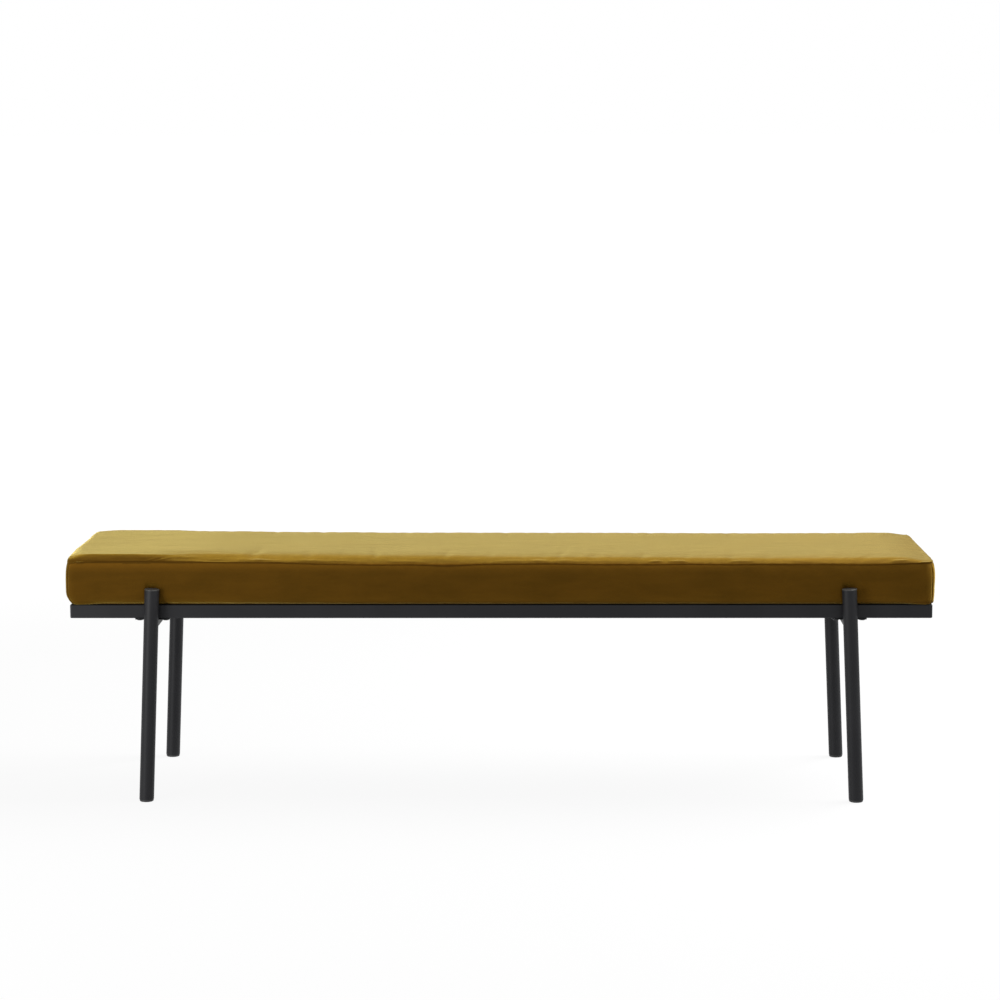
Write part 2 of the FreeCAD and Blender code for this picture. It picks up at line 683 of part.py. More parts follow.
def make_cushion(sectors, staples):
    """Foam, wadding and the velvet cover, which is sewn from five panels."""
    wadding_skin = "(cover_thickness + layer_clearance)"
    foam_skin = "(cover_thickness + 2 * layer_clearance + wadding_thickness)"
    space_skin = "(cover_thickness + layer_clearance + wadding_thickness)"
    outside = cushion_form("cover_outside", "0", FRAME_TOP)
    lining = cushion_form("cover_inside", "cover_thickness", f"{FRAME_TOP} + cover_thickness")
    wadding = cushion_form("wadding_outside", wadding_skin, f"{FRAME_TOP} + {wadding_skin}")
    space = cushion_form("foam_space", space_skin, BOARD_TOP, from_board=True)
    keep(cushion_form("foam_core", foam_skin, BOARD_TOP, from_board=True))

    board_room = box(
        "board_room", "(frame_length - 2 * board_setback)", "(frame_depth - 2 * board_setback)",
        "(cover_thickness + board_thickness)", 0, 0, FRAME_TOP,
    )
    keep(cut("wadding", wadding, [space, board_room]))

    shell = cut("cover_shell", outside, [lining])
    span = "(frame_length + frame_depth)"
    above_seam = box("above_seam", span, span, "2 * crown_rise", 0, 0, SEAM_LEVEL)
    keep(common("cover_top_panel", shell, above_seam))

    opening = box(
        "underside_opening", "(frame_length - 2 * turn_under)", "(frame_depth - 2 * turn_under)",
        "4 * cover_thickness", 0, 0, f"{FRAME_TOP} - 2 * cover_thickness",
    )
    bands = cut("cover_bands", shell, [above_seam, opening, staples])
    for name, quarter in sectors.items():
        keep(common(f"cover_{name}_panel", bands, quarter))


def check_and_export():
    """Stop on any failed object or bad shape, then write one file for each sub-part."""
    doc.recompute()
    for thing in doc.Objects:
        if "Invalid" in thing.State or "Error" in thing.State:
            raise RuntimeError(f"{thing.Name} failed: {thing.State}")
    for piece in pieces:
        if piece.Shape.isNull() or not piece.Shape.isValid() or not piece.Shape.Solids:
            raise RuntimeError(f"{piece.Label} has no valid solid")
    os.makedirs("parts", exist_ok=True)
    for piece in pieces:
        piece.Shape.exportStep(f"parts/{piece.Label}.step")
        print(f"{piece.Label}: {len(piece.Shape.Solids)} solid(s), {piece.Shape.Volume:.0f} mm3")


quarters = make_sectors()
make_rails(quarters)
make_cross_rails()
make_leg_frames()
make_leg_fasteners()
make_seat_fasteners()
doc.recompute()
staple_row = make_staples()
make_board(staple_row)
make_dust_cover(staple_row)
make_cushion(quarters, staple_row)
check_and_export()
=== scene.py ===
"""The looks of an upholstered bench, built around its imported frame.

A velvet box cushion lies on a slim frame of black steel tube, and a dust cover closes the seat from
below. Metres, +X along the bench, +Y towards its back, +Z up, the origin on the floor.
"""

import logging
import math
from collections.abc import Sequence
from dataclasses import dataclass, field, replace
from enum import Enum
from functools import reduce

import bpy
import numpy as np
from mathutils import Matrix, Vector


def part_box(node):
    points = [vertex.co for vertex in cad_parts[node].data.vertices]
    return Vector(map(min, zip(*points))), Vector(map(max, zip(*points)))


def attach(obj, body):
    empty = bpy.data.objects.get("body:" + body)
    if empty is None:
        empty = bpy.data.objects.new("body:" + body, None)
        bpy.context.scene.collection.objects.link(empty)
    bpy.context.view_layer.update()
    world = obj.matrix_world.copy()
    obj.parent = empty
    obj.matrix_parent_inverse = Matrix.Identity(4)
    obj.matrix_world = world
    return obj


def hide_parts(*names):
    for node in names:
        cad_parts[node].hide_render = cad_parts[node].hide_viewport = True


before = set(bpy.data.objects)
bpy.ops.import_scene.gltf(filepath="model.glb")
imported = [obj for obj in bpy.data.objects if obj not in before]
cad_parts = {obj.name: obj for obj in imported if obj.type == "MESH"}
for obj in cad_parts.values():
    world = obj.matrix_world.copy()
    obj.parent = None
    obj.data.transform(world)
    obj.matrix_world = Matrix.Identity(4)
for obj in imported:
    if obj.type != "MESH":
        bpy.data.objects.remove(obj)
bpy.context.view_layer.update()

MM = 0.001
PICTURE_SIDE = 1000
ROLL_LINES = 9
HEM_LINES = 8
LOG = logging.getLogger("bench")

Colour = tuple[float, float, float]
Socket = bpy.types.NodeSocket
Owner = bpy.types.Material | bpy.types.World


class Ray(Enum):
    """A kind of light ray, by the output of the node that tells it."""

    CAMERA = "Is Camera Ray"
    GLOSSY = "Is Glossy Ray"
    TRANSMISSION = "Is Transmission Ray"


class Number:
    """A number that a shader node gives. Python's operators on it add Math nodes."""

    def __init__(self, shader: "Shader", socket: Socket) -> None:
        """Keep the socket and the shader that it belongs to."""
        self.shader = shader
        self.socket = socket

    def _with(self, operation: str, *values: "Number | float") -> "Number":
        """Add a Math node for an operation on the given values."""
        return self.shader.maths(operation, *values)

    def __add__(self, other: "Number | float") -> "Number":
        """Sum."""
        return self._with("ADD", self, other)

    def __sub__(self, other: "Number | float") -> "Number":
        """Difference."""
        return self._with("SUBTRACT", self, other)

    def __rsub__(self, other: float) -> "Number":
        """Difference, with the plain number first."""
        return self._with("SUBTRACT", other, self)

    def __mul__(self, other: "Number | float") -> "Number":
        """Product."""
        return self._with("MULTIPLY", self, other)

    def __truediv__(self, other: "Number | float") -> "Number":
        """Quotient."""
        return self._with("DIVIDE", self, other)

    def __pow__(self, other: "Number | float") -> "Number":
        """Power."""
        return self._with("POWER", self, other)

    __radd__ = __add__
    __rmul__ = __mul__

    def at_least(self, other: "Number | float") -> "Number":
        """The greater of two numbers."""
        return self._with("MAXIMUM", self, other)

    def ramp(self, low: float, high: float) -> "Number":
        """From 0 at low to 1 at high, with soft ends.

        Args:
            low: Where the ramp starts.
            high: Where the ramp ends.

        Returns:
            The ramp's value, from 0 to 1.
        """
        node = self.shader.node(
            "ShaderNodeMapRange",
            {"interpolation_type": "SMOOTHSTEP"},
            {"Value": self, "From Min": low, "From Max": high},
        )
        return Number(self.shader, node.outputs[0])


class Shader:
    """The node tree of one material or world, with short ways to add nodes to it."""

    def __init__(self, owner: Owner) -> None:
        """Empty the owner's node tree.

        Args:
            owner: The material or world that gets the nodes.
        """
        owner.use_nodes = True
        self.owner = owner
        self.tree = owner.node_tree
        self.tree.nodes.clear()

    def node(
        self, kind: str, settings: dict[str, object] | None = None, inputs: dict | None = None
    ) -> bpy.types.Node:
        """Add a node.

        Args:
            kind: The node's type.
            settings: Its properties, set before its sockets.
            inputs: A value, Number or socket for each input, by name or by place.

        Returns:
            The new node.
        """
        made = self.tree.nodes.new(kind)
        for name, value in (settings or {}).items():
            setattr(made, name, value)
        for key, value in (inputs or {}).items():
            socket = made.inputs[key]
            if isinstance(value, Number):
                self.tree.links.new(value.socket, socket)
            elif isinstance(value, Socket):
                self.tree.links.new(value, socket)
            else:
                socket.default_value = value
        return made

    def maths(self, operation: str, *values: Number | float) -> Number:
        """A Math node's result for an operation on numbers."""
        made = self.node("ShaderNodeMath", {"operation": operation}, dict(enumerate(values)))
        return Number(self, made.outputs[0])

    def here(self) -> Socket:
        """The object coordinates."""
        return self.node("ShaderNodeTexCoord").outputs["Object"]

    def place(self, scale: Sequence[float] = (1, 1, 1), turn: float = 0.0) -> Socket:
        """The object coordinates, stretched by a scale and turned about the upright."""
        sockets = {"Vector": self.here(), "Rotation": (0, 0, turn), "Scale": scale}
        return self.node("ShaderNodeMapping", {}, sockets).outputs[0]

    def noise(self, where: Socket, scale: float, detail: float = 2, rough: float = 0.5) -> Number:
        """A cloudy pattern from 0 to 1.

        Args:
            where: The coordinates to read it at.
            scale: How many clouds there are in a metre.
            detail: How many finer layers are added.
            rough: How strong the finer layers are.

        Returns:
            The pattern's value.
        """
        sockets = {"Vector": where, "Scale": scale, "Detail": detail, "Roughness": rough}
        return Number(self, self.node("ShaderNodeTexNoise", {}, sockets).outputs[0])

    def attribute(self, name: str) -> Number:
        """A number stored on the mesh."""
        stored = self.node("ShaderNodeAttribute", {"attribute_name": name})
        return Number(self, stored.outputs["Fac"])

    def rays(self, *kinds: Ray) -> Number:
        """1 for a ray of one of the given kinds, and 0 for any other."""
        outputs = self.node("ShaderNodeLightPath").outputs
        return reduce(Number.at_least, [Number(self, outputs[kind.value]) for kind in kinds])

    def mix(self, low: Colour | Socket, high: Colour | Socket, share: Number) -> Socket:
        """A colour between two colours.

        Args:
            low: The colour at share 0.
            high: The colour at share 1.
            share: How far from low to high.

        Returns:
            The mixed colour's socket.
        """
        ends = {6: self._opaque(low), 7: self._opaque(high), 0: share}
        return self.node("ShaderNodeMix", {"data_type": "RGBA"}, ends).outputs[2]

    @staticmethod
    def _opaque(colour: Colour | Socket) -> "tuple[float, ...] | Socket":
        """A colour with its fourth part, or the socket as it is."""
        return colour if isinstance(colour, Socket) else (*colour, 1)

    def bump(self, height: Number, distance: float, over: Socket | None = None) -> Socket:
        """A normal that a height pattern tilts.

        Args:
            height: The pattern, from 0 to 1.
            distance: How high the pattern is, in metres.
            over: A normal from another bump, which this one is added to.

        Returns:
            The normal's socket.
        """
        sockets = {"Height": height, "Distance": distance}
        if over is not None:
            sockets["Normal"] = over
        return self.node("ShaderNodeBump", {}, sockets).outputs[0]

    def principled(self, sockets: dict[str, object]) -> Socket:
        """A Principled shader with the given sockets."""
        return self.node("ShaderNodeBsdfPrincipled", {}, sockets).outputs[0]

    def blend(self, share: Number, first: Socket, second: Socket) -> Socket:
        """A shader between two shaders: the first at share 0, the second at share 1."""
        return self.node("ShaderNodeMixShader", {}, {0: share, 1: first, 2: second}).outputs[0]

    def finish(self, surface: Socket, output: str = "ShaderNodeOutputMaterial") -> Owner:
        """Join the last shader to the tree's output, and give back the owner."""
        self.node(output, {}, {"Surface": surface})
        return self.owner


@dataclass(frozen=True)
class Sheen:
    """Light that a pile's tips throw back, in its tint and with its spread."""

    tint: Colour
    roughness: float


@dataclass(frozen=True)
class Velvet:
    """Short cut pile: dark where one looks into it, golden where one looks along it."""

    deep: Colour = (0.0752, 0.0338, 0.0024)
    light: Colour = (0.1015, 0.0451, 0.0035)
    # seam darkens the crushed seams, partly as painted shade of the overhanging top panel, and is
    # painted shade over the hem's fold.
    seam: Colour = (0.062, 0.027, 0.0020)
    # drawn is a painted highlight: a lighter band under the long sides' seam.
    drawn: Colour = (0.140, 0.061, 0.0048)
    gold: Sheen = Sheen((0.80, 0.505, 0.055), 0.45)
    pale: Sheen = Sheen((1.0, 0.81, 0.265), 0.38)
    turn: tuple[float, float] = (0.56, 0.84)
    crushed: float = 0.9
    roughness: float = 0.85
    specular: float = 0.04
    nap_per_metre: float = 9
    nap_stretch: tuple[float, float, float] = (1, 2.2, 2.6)
    nap_height: float = 1.6 * MM
    streaks_per_metre: float = 3
    streak_stretch: tuple[float, float, float] = (5, 22, 30)
    pile_per_metre: float = 1400
    pile_height: float = 0.35 * MM

    def material(self) -> bpy.types.Material:
        """The velvet's material: two sheens by the angle of view, and none in the seams and in the
        painted shade over the hem's fold.
        """
        shader = Shader(bpy.data.materials.new("velvet"))
        nap = shader.noise(shader.place(self.nap_stretch), self.nap_per_metre, 3, 0.55)
        streaks = shader.noise(shader.place(self.streak_stretch), self.streaks_per_metre, 2)
        tuft = shader.noise(shader.place(), self.pile_per_metre, 2, 0.7)
        tone = nap.ramp(0.3, 0.72) * 0.6 + streaks.ramp(0.35, 0.7) * 0.25 + tuft * 0.15
        pile = shader.mix(self.deep, self.light, tone)
        # Painted highlight: the drawn attribute lightens a band under the long sides' seam.
        pile_with_painted_highlight = shader.mix(pile, self.drawn, shader.attribute("drawn"))
        brushed = shader.bump(nap + streaks * 0.25, self.nap_height)
        # The seam attribute darkens the seams, partly as painted shade, and paints shade over the
        # hem's fold; there the sheen is taken out too.
        seam_and_painted_shade = shader.attribute("seam")
        plain = {
            "Base Color": shader.mix(pile_with_painted_highlight, self.seam, seam_and_painted_shade),
            "Roughness": self.roughness,
            "Specular IOR Level": self.specular,
            "Normal": shader.bump(tuft, self.pile_height, brushed),
        }
        gold, pale = (
            shader.principled(
                plain
                | {
                    "Sheen Weight": 1.0,
                    "Sheen Roughness": sheen.roughness,
                    "Sheen Tint": (*sheen.tint, 1),
                }
            )
            for sheen in (self.gold, self.pale)
        )
        facing = Number(shader, shader.node("ShaderNodeLayerWeight").outputs["Facing"])
        standing = shader.blend(facing.ramp(*self.turn), gold, pale)
        flat = shader.principled(plain)
        return shader.finish(shader.blend(seam_and_painted_shade * self.crushed, standing, flat))


@dataclass(frozen=True)
class PowderCoat:
    """Fine-textured powder coat on steel tube."""

    name: str = "powder_coat"
    colour: Colour = (0.0101, 0.0103, 0.0119)
    dusty: Colour = (0.0138, 0.0138, 0.0156)
    roughness: float = 0.5
    specular: float = 0.2
    grain_per_metre: float = 900
    grain_height: float = 0.06 * MM
    flow_per_metre: float = 140
    drift_per_metre: float = 11

    def material(self) -> bpy.types.Material:
        """The coat's material."""
        shader = Shader(bpy.data.materials.new(self.name))
        grain = shader.noise(shader.place(), self.grain_per_metre, 2, 0.6)
        flow = shader.noise(shader.place(), self.flow_per_metre, 2)
        drift = shader.noise(shader.place(), self.drift_per_metre, 3)
        sockets = {
            "Base Color": shader.mix(self.colour, self.dusty, drift.ramp(0.35, 0.7)),
            "Roughness": self.roughness + (grain - 0.5) * 0.12 + (drift - 0.5) * 0.08,
            "Specular IOR Level": self.specular,
            "Normal": shader.bump(grain * 0.7 + flow * 0.9, self.grain_height),
        }
        return shader.finish(shader.principled(sockets))


@dataclass(frozen=True)
class ZincPlate:
    """Bright zinc on small fasteners, or black oxide where it is dark."""

    name: str
    colour: Colour
    worn: Colour
    metallic: float
    roughness: float
    spangle_per_metre: float = 700
    spangle_height: float = 0.03 * MM
    smear_per_metre: float = 160

    def material(self) -> bpy.types.Material:
        """The plating's material."""
        shader = Shader(bpy.data.materials.new(self.name))
        spangle = shader.noise(shader.place(), self.spangle_per_metre, 3, 0.6)
        smear = shader.noise(shader.place(), self.smear_per_metre, 2)
        sockets = {
            "Base Color": shader.mix(self.colour, self.worn, smear.ramp(0.35, 0.75)),
            "Metallic": self.metallic,
            "Roughness": self.roughness + (spangle - 0.5) * 0.2,
            "Normal": shader.bump(spangle, self.spangle_height),
        }
        return shader.finish(shader.principled(sockets))


@dataclass(frozen=True)
class MouldedPlastic:
    """Black polyethylene of the foot glides, finely eroded, with scuffs from the floor."""

    colour: Colour = (0.013, 0.013, 0.014)
    scuffed: Colour = (0.045, 0.044, 0.042)
    roughness: float = 0.5
    grain_per_metre: float = 1100
    grain_height: float = 0.05 * MM
    scuffs_per_metre: float = 190

    def material(self) -> bpy.types.Material:
        """The plastic's material."""
        shader = Shader(bpy.data.materials.new("glide_plastic"))
        grain = shader.noise(shader.place(), self.grain_per_metre, 2)
        scuff = shader.noise(shader.place((1, 1, 6)), self.scuffs_per_metre, 4, 0.7)
        sockets = {
            "Base Color": shader.mix(self.colour, self.scuffed, scuff.ramp(0.58, 0.8) * 0.7),
            "Roughness": self.roughness + grain * 0.15,
            "Normal": shader.bump(grain, self.grain_height),
        }
        return shader.finish(shader.principled(sockets))


@dataclass(frozen=True)
class Plywood:
    """Birch plywood: long grain on its faces and thin plies on its edges."""

    early: Colour = (0.56, 0.38, 0.21)
    late: Colour = (0.42, 0.25, 0.12)
    glue: Colour = (0.20, 0.11, 0.05)
    ply: float = 1.5 * MM
    roughness: float = 0.62
    grain_per_metre: float = 6
    grain_height: float = 0.08 * MM
    pores_per_metre: float = 8

    def material(self) -> bpy.types.Material:
        """The board's material."""
        shader = Shader(bpy.data.materials.new("plywood"))
        grain = shader.noise(shader.place((2, 40, 6)), self.grain_per_metre, 5, 0.6)
        pores = shader.noise(shader.place((12, 260, 60)), self.pores_per_metre, 2)
        parts = shader.node("ShaderNodeSeparateXYZ", {}, {0: shader.here()})
        height = Number(shader, parts.outputs["Z"])
        plies = shader.maths("PINGPONG", height, self.ply).ramp(0.9, 1.0) * 0.5
        wood = shader.mix(self.early, self.late, grain.ramp(0.35, 0.7))
        sockets = {
            "Base Color": shader.mix(wood, self.glue, plies + pores.ramp(0.62, 0.8) * 0.35),
            "Roughness": self.roughness + grain * 0.12,
            "Normal": shader.bump(pores + grain * 0.5, self.grain_height),
        }
        return shader.finish(shader.principled(sockets))


@dataclass(frozen=True)
class DustCloth:
    """Black spunbonded cloth with its grid of small pressed points."""

    colour: Colour = (0.016, 0.016, 0.017)
    pale: Colour = (0.040, 0.040, 0.042)
    roughness: float = 0.8
    sheen: float = 0.15
    point_pitch: float = 1.6 * MM
    point_depth: float = 0.12 * MM
    fibres_per_metre: float = 500

    def material(self) -> bpy.types.Material:
        """The cloth's material."""
        shader = Shader(bpy.data.materials.new("dust_cloth"))
        per_metre = 1 / self.point_pitch
        turned = shader.place((per_metre, per_metre, 0), math.radians(45))
        cells = {"Vector": turned, "Scale": 1, "Randomness": 0}
        point = Number(shader, shader.node("ShaderNodeTexVoronoi", {}, cells).outputs[0])
        pressed = 1 - point.ramp(0.18, 0.36)
        fibre = shader.noise(shader.place((1, 5, 1)), self.fibres_per_metre, 4, 0.7)
        tone = fibre.ramp(0.4, 0.75) * (1 - pressed)
        sockets = {
            "Base Color": shader.mix(self.colour, self.pale, tone),
            "Roughness": self.roughness - pressed * 0.25,
            "Sheen Weight": self.sheen,
            "Normal": shader.bump(fibre * 0.5 - pressed, self.point_depth),
        }
        return shader.finish(shader.principled(sockets))


def smooth(value: np.ndarray, low: float, high: float) -> np.ndarray:
    """From 0 at low to 1 at high: three times the square less twice the cube of the share."""
    share = np.clip((value - low) / (high - low), 0, 1)
    return share * share * (3 - 2 * share)


def bell(value: np.ndarray, width: float | np.ndarray, power: int = 2) -> np.ndarray:
    """1 at 0, falling to both sides: e to the minus of a power of the share of the width."""
    return np.exp(-((value / width) ** power))


def resample(values: np.ndarray, old: np.ndarray, new: np.ndarray) -> np.ndarray:
    """Read rows of values between their places, on cubic curves through them.

    Each stretch is a Hermite cubic, whose slopes at its ends are the differences across them.

    Args:
        values: The rows, along the first axis.
        old: Their places, rising.
        new: The places to read at.

    Returns:
        The rows at the new places.
    """
    slope = np.gradient(values, old, axis=0)
    start = np.clip(np.searchsorted(old, new, side="right") - 1, 0, len(old) - 2)
    span = (old[start + 1] - old[start])[:, None, None]
    t = np.clip((new - old[start])[:, None, None] / span, 0, 1)
    at_start = (1 + 2 * t) * (1 - t) ** 2 * values[start]
    at_end = t * t * (3 - 2 * t) * values[start + 1]
    leaving = t * (1 - t) ** 2 * span * slope[start]
    arriving = t * t * (t - 1) * span * slope[start + 1]
    return at_start + at_end + leaving + arriving


def grid_faces(index: np.ndarray, closed: bool = False) -> np.ndarray:
    """Four-sided faces between the rows of a grid of vertex numbers.

    Args:
        index: The vertex numbers, in rows.
        closed: Whether each row runs on from its end to its start.

    Returns:
        One row of four vertex numbers per face.
    """
    if closed:
        index = np.hstack([index, index[:, :1]])
    corners = (index[:-1, :-1], index[:-1, 1:], index[1:, 1:], index[1:, :-1])
    return np.stack([corner.ravel() for corner in corners], axis=1)


def new_piece(
    name: str, points: np.ndarray, faces: Sequence[Sequence[int]], material: bpy.types.Material
) -> bpy.types.Object:
    """Make a smooth-shaded piece at the origin from points in place.

    Args:
        name: The piece's name.
        points: Its vertices, one row each.
        faces: The vertex numbers of each face.
        material: Its finish.

    Returns:
        The new object.
    """
    mesh = bpy.data.meshes.new(name)
    mesh.from_pydata(points.tolist(), [], faces)
    mesh.validate()
    mesh.shade_smooth()
    mesh.materials.append(material)
    piece = bpy.data.objects.new(name, mesh)
    bpy.context.scene.collection.objects.link(piece)
    return piece


def store(piece: bpy.types.Object, name: str, values: np.ndarray) -> None:
    """Keep one number for each vertex of a piece, as an attribute of its mesh."""
    layer = piece.data.attributes.new(name, "FLOAT", "POINT")
    layer.data.foreach_set("value", values.astype(np.float32))


def grid_normals(points: np.ndarray, closed: bool = False) -> np.ndarray:
    """Unit normals of a grid of points: the cross product of its two central differences.

    Args:
        points: The points, in rows.
        closed: Whether each row runs on from its end to its start.

    Returns:
        The normals, in the same rows.
    """
    if closed:
        along = np.roll(points, -1, axis=1) - np.roll(points, 1, axis=1)
    else:
        along = np.gradient(points, axis=1)
    across = np.gradient(points, axis=0)
    normal = np.cross(along, across)
    return normal / np.maximum(np.linalg.norm(normal, axis=2, keepdims=True), 1e-12)


@dataclass(frozen=True)
class Pucker:
    """A dent beside the seam or the lower edge.

    Attributes:
        along: Its middle, as a distance round the seam from the front left corner.
        length: Its length along the seam.
        above: Its middle's distance from the seam, across the panel.
        width: Its width across the panel.
        depth: How deep it is. Less than nothing is a bulge.
        lean: How far its far side is shifted along the seam, as a share of the distance.
    """

    along: float
    length: float
    above: float
    width: float
    depth: float
    lean: float


@dataclass(frozen=True)
class PuckerRange:
    """What a group of puckers is drawn from: the least and the most of each size, in mm."""

    count: int
    length: tuple[float, float]
    above: tuple[float, float]
    width: tuple[float, float]
    depth: tuple[float, float]
    lean: tuple[float, float]

    def draw(
        self, rng: np.random.Generator, whole: float, start: float = 0.0, way: int = 1
    ) -> list[Pucker]:
        """Draw the group's puckers by chance.

        Args:
            rng: The source of the draws.
            whole: The length round the seam.
            start: The distance across the panel that their middles are measured from.
            way: 1 where they are measured away from the seam, and -1 towards it.

        Returns:
            The puckers.
        """
        return [
            Pucker(
                rng.uniform(0, whole),
                rng.uniform(*self.length) * MM,
                start + way * rng.uniform(*self.above) * MM,
                rng.uniform(*self.width) * MM,
                rng.uniform(*self.depth) * MM,
                rng.uniform(*self.lean),
            )
            for _ in range(self.count)
        ]


class EdgeSize(Enum):
    """A size of the top panel's edges, by its name in Edge."""

    RISE = "rise"
    REACH = "reach"
    POWER = "power"


@dataclass(frozen=True)
class Edge:
    """How the top panel rises from its seam at one place along the bench.

    Attributes:
        place: The place along the bench.
        rise: The whole rise, from the seam to the crown.
        reach: How far in the crown is reached.
        power: How soon it levels off.
    """

    place: float
    rise: float
    reach: float
    power: float


@dataclass(frozen=True)
class CushionGrid:
    """The lines of a grid over the cushion, in the plan of the frame and down its side.

    Attributes:
        x: The places of the lines across the bench, from its left end to its right.
        y: The places of the lines along the bench, from its front to its back.
        section: The heights of the lines round its sides, from the seam down to the hem.
    """

    x: np.ndarray
    y: np.ndarray
    section: np.ndarray


@dataclass
class VelvetCushion:
    """The box cushion: a crowned top panel sewn to four swelling side panels.

    Its sizes are those of the real one, in metres. The cover is turned under the seat board.
    """

    half_length: float
    half_depth: float
    base: float
    seam_level: float
    board_low: float
    board_high: float
    board_inset: float
    turn_under: float
    # The legs' axes, from foot to head, and the seam's corners and rolled edge in plan.
    legs: Sequence[tuple[Vector, Vector]] = field(default_factory=tuple)
    corner: float = 19 * MM
    back_corner: float = -2 * MM
    roll: float = 9.5 * MM
    past_roll: tuple[float, float] = (2.6 * MM, 5.6 * MM)
    # How the top panel rises, from the left end to the right, and at the two ends themselves.
    edges: Sequence[Edge] = (
        Edge(-794 * MM, 13.4 * MM, 15 * MM, 1.10),
        Edge(-650 * MM, 13.4 * MM, 14 * MM, 1.10),
        Edge(-540 * MM, 13.6 * MM, 35 * MM, 1.60),
        Edge(-370 * MM, 12.0 * MM, 47 * MM, 2.20),
        Edge(-175 * MM, 10.4 * MM, 41 * MM, 2.00),
        Edge(120 * MM, 9.0 * MM, 28 * MM, 1.60),
        Edge(480 * MM, 7.4 * MM, 24 * MM, 1.70),
        Edge(794 * MM, 7.6 * MM, 24 * MM, 1.70),
    )
    small_roll: float = 2 * MM
    end_rolls: tuple[float, float] = (13 * MM, 2.5 * MM)
    end_reaches: tuple[float, float] = (14 * MM, 75 * MM)
    end_mitre: float = 30 * MM
    end_fade: tuple[float, float] = (50 * MM, 110 * MM)
    # How fast the level lines round their corners: front left, front right, back right, back left.
    corner_growth: tuple[float, float, float, float] = (0.5, 1.2, 1.3, 1.3)
    # The fuller filling at the front left: its height, and where it starts and ends.
    front_lift: float = 2.8 * MM
    lift_start: tuple[float, float] = (-6 * MM, 16 * MM)
    lift_end: tuple[float, float] = (-700 * MM, -480 * MM)
    lift_back: tuple[float, float] = (-190 * MM, -20 * MM)
    # How the ends stand out in plan: both shifted left, the left one full, the right one drawn in.
    end_zone: float = 60 * MM
    end_shift: float = 1.3 * MM
    end_bulge: float = 2.6 * MM
    bulge_middle: float = -45 * MM
    bulge_width: float = 115 * MM
    end_waist: float = 2.8 * MM
    waist_half: float = 120 * MM
    # How the sides swell past the frame, and what they lose towards the lower edge.
    swell: float = 8 * MM
    end_swell: float = 0.9 * MM
    right_flat: float = 3.4 * MM
    seam_swell: float = 5.5 * MM
    swell_top: float = 404 * MM
    swell_low: float = 390 * MM
    lower_loss: float = 8 * MM
    end_loss: float = 0.5 * MM
    right_loss: float = 7 * MM
    # The hem over the frame: its height, its bend and how far it is tucked in.
    hem: float = 4.5 * MM
    left_hem: float = 4.5 * MM
    left_zone: tuple[float, float] = (-700 * MM, -350 * MM)
    hem_bend: float = 1.3
    left_bend: float = 0.35
    end_bend: float = 0.5
    tuck: float = 15 * MM
    end_tuck: float = 1.2 * MM
    # The seams' grooves. A pair of widths is for the top panel and for the sides.
    groove: float = 0.9 * MM
    groove_widths: tuple[float, float] = (1.6 * MM, 2.4 * MM)
    seam_draw: float = 1.5 * MM
    draw_widths: tuple[float, float] = (7 * MM, 9 * MM)
    corner_groove: float = 1.3 * MM
    corner_width: float = 1.5 * MM
    # How the top seam wanders: a lift at the left, a dip to the right, waves (mm, times round,
    # start) and a sag in millimetres.
    seam_lift: float = 3.6 * MM
    seam_dip: float = 1.7 * MM
    seam_waves: Sequence[tuple[float, float, float]] = (
        (0.5, 5, 0.6), (0.45, 9, 2.1), (0.3, 16, 4.0), (0.18, 31, 1.0)
    )
    wander_width: float = 16 * MM
    seam_sag: float = 1.5
    sag_place: float = -99 * MM
    sag_width: float = 42 * MM
    # The crushed pile in the seams, partly painted shade, widened as painted shade where the top
    # panel sags over the seam; painted shade without sheen over the hem's fold; a painted highlight
    # under the long sides' seam.
    seam_strength: float = 0.95
    seam_width: float = 1.1 * MM
    sag_shade: tuple[float, float] = (1.8 * MM, 46 * MM)
    corner_strength: float = 0.9
    corner_shade: float = 1.3 * MM
    fold: float = 2.4 * MM
    painted_highlight_width: float = 9 * MM
    # Under the cover: its play over frame and board, and the corners of the foam's bed.
    cover_gap: float = 0.1 * MM
    bed_corner: float = 10 * MM
    # The dents round the leg tops.
    leg_radius: float = 13.5 * MM
    leg_clearance: float = 0.4 * MM
    leg_slope: float = 1.4
    leg_blend: float = 1.6 * MM
    leg_fade: tuple[float, float] = (1 * MM, 11 * MM)
    # The grid's steps, and the places beside the legs where the front puckers are narrow.
    usual_step: float = 4.6 * MM
    fine_step: float = 2.6 * MM
    fine_width: float = 18 * MM
    fine_places: tuple[float, float] = (-0.679, -0.613)
    # The cloth run, how much of its movement is kept, and the stretch that it is kept from.
    cloth_step: float = 8 * MM
    cloth_fine_step: float = 6 * MM
    cloth_noise: float = 0.12 * MM
    cloth_frames: int = 20
    give: float = 0.28
    most_give: float = 3 * MM
    calm_end: tuple[float, float] = (20 * MM, 260 * MM)
    seed: int = 11
